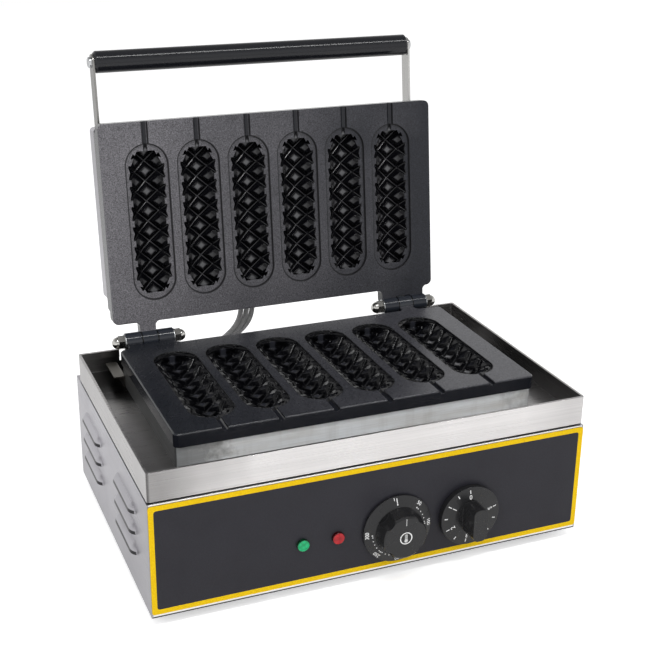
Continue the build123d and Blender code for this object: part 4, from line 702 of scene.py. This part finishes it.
class Dial:
    """Printed marks laid on the shallow cone of a knob's skirt, or flat on its cap."""

    def __init__(self, name, knob, rim_radius, rim_y, seat_radius, seat_y):
        low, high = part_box(knob)
        self.name = name
        self.x = (low.x + high.x) / 2
        self.z = (low.z + high.z) / 2
        self.rim_radius = rim_radius * MM
        self.rim_y = rim_y
        self.seat_radius = seat_radius * MM
        self.seat_y = seat_y
        self.verts = []
        self.faces = []

    def surface_y(self, radius):
        share = (self.rim_radius - radius) / (self.rim_radius - self.seat_radius)
        return self.rim_y + share * (self.seat_y - self.rim_y) - PRINT_LIFT

    def add(self, points, faces, angle, radius, flat_y=None):
        """Points are u to the right and v outward, about the mark's own middle."""
        start = len(self.verts)
        turn = math.radians(angle)
        out = (math.sin(turn), math.cos(turn))
        right = (math.cos(turn), -math.sin(turn))
        for u, v in points:
            px = ((radius + v) * out[0] + u * right[0]) * MM
            pz = ((radius + v) * out[1] + u * right[1]) * MM
            y = flat_y if flat_y is not None else self.surface_y(math.hypot(px, pz))
            self.verts.append((self.x + px, y, self.z + pz))
        self.faces += [tuple(start + i for i in face) for face in faces]

    def bar(self, width, length, angle, radius, flat_y=None):
        points = []
        for k in range(BAR_STEPS + 1):
            v = -length / 2 + length * k / BAR_STEPS
            points += [(-width / 2, v), (width / 2, v)]
        faces = [(2 * k, 2 * k + 1, 2 * k + 3, 2 * k + 2) for k in range(BAR_STEPS)]
        self.add(points, faces, angle, radius, flat_y)

    def dot(self, size, angle, radius, flat_y=None):
        turns = [2 * math.pi * k / DOT_SIDES for k in range(DOT_SIDES)]
        points = [(size * math.cos(t), size * math.sin(t)) for t in turns]
        self.add(points, [tuple(range(DOT_SIDES))], angle, radius, flat_y)

    def ring(self, inner, outer, angle, radius, flat_y=None):
        points = []
        for k in range(RING_SIDES):
            t = 2 * math.pi * k / RING_SIDES
            points += [(size * math.cos(t), size * math.sin(t)) for size in (inner, outer)]
        count = 2 * RING_SIDES
        faces = [(k, k + 1, (k + 3) % count, (k + 2) % count) for k in range(0, count, 2)]
        self.add(points, faces, angle, radius, flat_y)

    def digits(self, text, height, angle, radius):
        curve = bpy.data.curves.new("digits", "FONT")
        curve.body = text
        curve.size = height / DIGIT_SHARE
        curve.align_x = "CENTER"
        curve.align_y = "CENTER"
        curve.resolution_u = 3
        curve.offset = DIGIT_WEIGHT_SHARE * height
        holder = add_object("digits", curve)
        bpy.context.view_layer.update()
        mesh = bpy.data.meshes.new_from_object(holder)
        points = [(v.co.x, v.co.y) for v in mesh.vertices]
        faces = [tuple(p.vertices) for p in mesh.polygons]
        bpy.data.objects.remove(holder)
        bpy.data.curves.remove(curve)
        bpy.data.meshes.remove(mesh)
        self.add(points, faces, angle, radius)

    def finish(self, body):
        """Make the mesh, turn all its faces to the front and let it ride on the knob's body."""
        mesh = bpy.data.meshes.new(self.name)
        mesh.from_pydata(self.verts, [], self.faces)
        shape = bmesh.new()
        shape.from_mesh(mesh)
        bmesh.ops.recalc_face_normals(shape, faces=shape.faces)
        for face in shape.faces:
            if face.normal.y > 0:
                face.normal_flip()
        shape.to_mesh(mesh)
        shape.free()
        mesh.materials.append(PRINT)
        obj = add_object(self.name, mesh)
        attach(obj, body)


# Temperature dial
HEAT_RIM_RADIUS = 34.2
HEAT_SEAT_RADIUS = 24.0
HEAT_RIM_LIFT = 3.0 * MM
HEAT_CONE_RISE = 3.2 * MM
HEAT_NUMBERS = 6
HEAT_NUMBER_STEP = 50
HEAT_START = 42.0
HEAT_STEP = 45.2
HEAT_DIGIT_HEIGHT = 3.5
HEAT_DIGIT_RADIUS = 31.0
DOTS_PER_STEP = 5
SMALL_DOT = 0.55
SMALL_DOT_RADIUS = 26.4
LARGE_DOT = 0.7
LARGE_DOT_RADIUS = 26.6
OFF_ANGLE = -4.0
OFF_LINE = (0.8, 4.8)
OFF_LINE_RADIUS = 30.2
OFF_TICK = (0.6, 2.6)
OFF_TICK_ANGLE = -8.5
OFF_TICK_RADIUS = 32.0
OFF_DOT = 0.8
OFF_DOT_RADIUS = 26.8

# Pointer and thermometer sign on the cap
POINTER = (0.5, 7.0)
POINTER_RADIUS = 16.5
SIGN_RING = (5.2, 6.2)
BULB_RING = (1.1, 1.7)
BULB_DOT = 0.9
BULB_UP = -2.5
FILLING = (0.45, 6.0)
FILLING_UP = 1.3
TUBE_LEFTS = (-1.2, 0.8)
TUBE_WALL = 0.4
TUBE_BOTTOM = -1.6
TUBE_TOP = 4.0


def thermostat_marks():
    """Numbers with dots between them, the off mark, and on the cap a pointer and a thermometer sign."""
    rim_y = FASCIA_FACE - HEAT_RIM_LIFT
    seat_y = rim_y - HEAT_CONE_RISE
    dial = Dial("thermostat_marks", "thermostat_knob", HEAT_RIM_RADIUS, rim_y, HEAT_SEAT_RADIUS, seat_y)
    for k in range(HEAT_NUMBERS):
        number = str(HEAT_NUMBER_STEP * (k + 1))
        dial.digits(number, HEAT_DIGIT_HEIGHT, HEAT_START + HEAT_STEP * k, HEAT_DIGIT_RADIUS)
    for k in range(HEAT_NUMBERS - 1):
        for j in range(1, DOTS_PER_STEP + 1):
            steps = k + (j - 0.5) / DOTS_PER_STEP
            dial.dot(SMALL_DOT, HEAT_START + HEAT_STEP * steps, SMALL_DOT_RADIUS)
    for k in range(HEAT_NUMBERS):
        dial.dot(LARGE_DOT, HEAT_START + HEAT_STEP * k, LARGE_DOT_RADIUS)
    dial.bar(*OFF_LINE, OFF_ANGLE, OFF_LINE_RADIUS)
    dial.bar(*OFF_TICK, OFF_TICK_ANGLE, OFF_TICK_RADIUS)
    dial.dot(OFF_DOT, OFF_ANGLE, OFF_DOT_RADIUS)
    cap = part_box("thermostat_knob")[0].y - PRINT_LIFT
    dial.bar(*POINTER, 0.0, POINTER_RADIUS, cap)
    dial.ring(*SIGN_RING, 0.0, 0.0, cap)
    dial.ring(*BULB_RING, 0.0, BULB_UP, cap)
    dial.dot(BULB_DOT, 0.0, BULB_UP, cap)
    dial.bar(*FILLING, 0.0, FILLING_UP, cap)
    for left in TUBE_LEFTS:
        right = left + TUBE_WALL
        wall = [(left, TUBE_BOTTOM), (right, TUBE_BOTTOM), (right, TUBE_TOP), (left, TUBE_TOP)]
        dial.add(wall, [(0, 1, 2, 3)], 0.0, 0.0, cap)
    dial.finish("thermostat_control")


# Timer dial
TIMER_RIM_RADIUS = 30.3
TIMER_SEAT_RADIUS = 17.0
TIMER_RIM_INSET = 5.5 * MM
TIMER_CONE_RISE = 1.5 * MM
TIMER_NUMBERS = 6
TIMER_START = -3.0
TIMER_STEP = 56.0
TIMER_DIGIT_HEIGHT = 4.4
TIMER_DIGIT_RADIUS = 20.2
TIMER_LINE = (0.9, 3.6)
TIMER_HALF_LINE = (1.0, 3.2)
TIMER_LINE_RADIUS = 25.8


def timer_marks():
    """Numbers that run anticlockwise, with a line at each and at each half step."""
    rim_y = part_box("timer_knob")[1].y - TIMER_RIM_INSET
    seat_y = rim_y - TIMER_CONE_RISE
    dial = Dial("timer_marks", "timer_knob", TIMER_RIM_RADIUS, rim_y, TIMER_SEAT_RADIUS, seat_y)
    for k in range(TIMER_NUMBERS):
        angle = TIMER_START - TIMER_STEP * k
        dial.digits(str(k), TIMER_DIGIT_HEIGHT, angle, TIMER_DIGIT_RADIUS)
        dial.bar(*TIMER_LINE, angle, TIMER_LINE_RADIUS)
        if k < TIMER_NUMBERS - 1:
            dial.bar(*TIMER_HALF_LINE, angle - TIMER_STEP / 2, TIMER_LINE_RADIUS)
    dial.finish("timer_control")


thermostat_marks()
timer_marks()

# Leads to the lid, with a sideways bow between the same two ends
LEAD_SWAY = 23.5 * MM
LEAD_PEAK_SHARE = 0.42


def eased(share):
    """0 to 1 with a soft start and a soft end."""
    share = min(1.0, max(0.0, share))
    return share * share * (3.0 - 2.0 * share)


sleeve = add_object("lid_lead_sleeves", nodes["lid_leads"].data.copy())
sleeve.data.materials.clear()
sleeve.data.materials.append(SLEEVE)
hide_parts("lid_leads")
lead_lo, lead_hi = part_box("lid_leads")
for vertex in sleeve.data.vertices:
    up_share = (vertex.co.z - lead_lo.z) / (lead_hi.z - lead_lo.z)
    if up_share < LEAD_PEAK_SHARE:
        vertex.co.x += LEAD_SWAY * eased(up_share / LEAD_PEAK_SHARE)
    else:
        vertex.co.x += LEAD_SWAY * eased((1.0 - up_share) / (1.0 - LEAD_PEAK_SHARE))
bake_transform(sleeve)

# Floor and world. Rays from the camera and from gloss see them white, and the rest see a plain level
FLOOR_HALF = 4.0
FLOOR_GLOW = 0.50
FLOOR_GLOW_IN_GLOSS_SHARE = 0.30
WHITE = (1.0, 1.0, 1.0)
WORLD_LEVEL = 0.60
OVERHEAD_LEVEL = 0.30
OVERHEAD_FROM = (0.25, 0.75)


def seen_directly(graph):
    """1 for rays from the camera, from gloss and through clear pieces."""
    kinds = ("Is Camera Ray", "Is Glossy Ray", "Is Transmission Ray")
    return graph.larger(*[graph.ray(kind) for kind in kinds])


def add_floor():
    """Plain pale floor that keeps the object's shadow."""
    mesh = bpy.data.meshes.new("floor")
    corners = [(-1, -1), (1, -1), (1, 1), (-1, 1)]
    mesh.from_pydata([(FLOOR_HALF * x, FLOOR_HALF * y, 0.0) for x, y in corners], [], [(0, 1, 2, 3)])
    floor = add_object("floor", mesh)
    material, graph, place, shader = new_material("floor_white")
    cloud = graph.spread(graph.noise(place, 3.0), 0.0, 1.0)
    graph.feed(shader.inputs["Base Color"], graph.mix_color(cloud, (0.86, 0.86, 0.86), (0.89, 0.89, 0.89)))
    graph.feed(shader.inputs["Roughness"], 0.9)
    glow = graph.new("ShaderNodeEmission")
    in_gloss = graph.mix(graph.ray("Is Glossy Ray"), 1.0, FLOOR_GLOW_IN_GLOSS_SHARE)
    graph.feed(glow.inputs["Strength"], graph.times(seen_directly(graph), in_gloss, FLOOR_GLOW))
    both = graph.new("ShaderNodeAddShader")
    graph.feed(both.inputs[0], shader.outputs[0])
    graph.feed(both.inputs[1], glow.outputs[0])
    graph.show(both.outputs[0])
    mesh.materials.append(material)


def add_world():
    """White for the camera, dimmer overhead for gloss, and a plain level for the rest of the light."""
    world = bpy.data.worlds.new("studio")
    bpy.context.scene.world = world
    world.use_nodes = True
    graph = Graph(world.node_tree, "ShaderNodeOutputWorld")
    plain = graph.new("ShaderNodeBackground")
    graph.feed(plain.inputs["Color"], WHITE)
    graph.feed(plain.inputs["Strength"], WORLD_LEVEL)
    white = graph.new("ShaderNodeBackground")
    graph.feed(white.inputs["Color"], WHITE)
    up = graph.part(graph.new("ShaderNodeTexCoord").outputs["Generated"], Z_AXIS)
    overhead = graph.remap(up, *OVERHEAD_FROM, 1.0, OVERHEAD_LEVEL)
    graph.feed(white.inputs["Strength"], graph.larger(graph.ray("Is Camera Ray"), overhead))
    either = graph.new("ShaderNodeMixShader")
    graph.feed(either.inputs[0], seen_directly(graph))
    graph.feed(either.inputs[1], plain.outputs[0])
    graph.feed(either.inputs[2], white.outputs[0])
    graph.show(either.outputs[0])


def area(name, where, target, size, watts, shows=False):
    """Soft lamp of the given width and length; one that doesn't show in gloss leaves no panel there."""
    light = bpy.data.lights.new(name, "AREA")
    light.shape = "RECTANGLE"
    light.size, light.size_y = size
    light.energy = watts
    lamp = add_object(name, light)
    lamp.location = where
    lamp.rotation_euler = (Vector(target) - Vector(where)).to_track_quat("-Z", "Y").to_euler()
    lamp.visible_glossy = shows


add_floor()
add_world()
area("key_left", (-1.5, -1.1, 1.3), (0.0, 0.0, 0.2), (1.2, 1.2), 12.0)
area("fill_right", (1.7, -0.9, 0.9), (0.0, 0.0, 0.2), (1.0, 1.0), 6.0)
area("strip", (0.0, -0.90, 2.10), (0.0, 0.1, 0.3), (2.4, 0.14), 19.5, shows=True)

# Camera of the photo, solved from the straight edges of the body, tray and plates
CAMERA_PLACE = Vector((-0.4256, -1.060768, 0.6536))
CAMERA_TURN = math.radians(-22.18)
CAMERA_DROP = math.radians(21.62)
CAMERA_ROLL = math.radians(0.59)
PHOTO_PIXELS = 645.0
FOCAL_PIXELS = 1246.4
SENSOR_MM = 36.0
CLIP_NEAR = 0.05
CLIP_FAR = 50.0


def add_camera():
    back = Vector((math.sin(CAMERA_TURN) * math.cos(CAMERA_DROP),
                   -math.cos(CAMERA_TURN) * math.cos(CAMERA_DROP), math.sin(CAMERA_DROP)))
    level_right = (-back).cross(Vector((0, 0, 1))).normalized()
    level_up = level_right.cross(-back)
    right = math.cos(CAMERA_ROLL) * level_right + math.sin(CAMERA_ROLL) * level_up
    up = -math.sin(CAMERA_ROLL) * level_right + math.cos(CAMERA_ROLL) * level_up
    data = bpy.data.cameras.new("camera")
    data.sensor_width = SENSOR_MM
    data.lens = SENSOR_MM * FOCAL_PIXELS / PHOTO_PIXELS
    data.clip_start = CLIP_NEAR
    data.clip_end = CLIP_FAR
    camera = add_object("camera", data)
    camera.matrix_world = Matrix((
        (right.x, up.x, back.x, CAMERA_PLACE.x),
        (right.y, up.y, back.y, CAMERA_PLACE.y),
        (right.z, up.z, back.z, CAMERA_PLACE.z),
        (0.0, 0.0, 0.0, 1.0)))
    return camera


bpy.context.scene.camera = add_camera()
bpy.context.scene.view_settings.view_transform = "Standard"
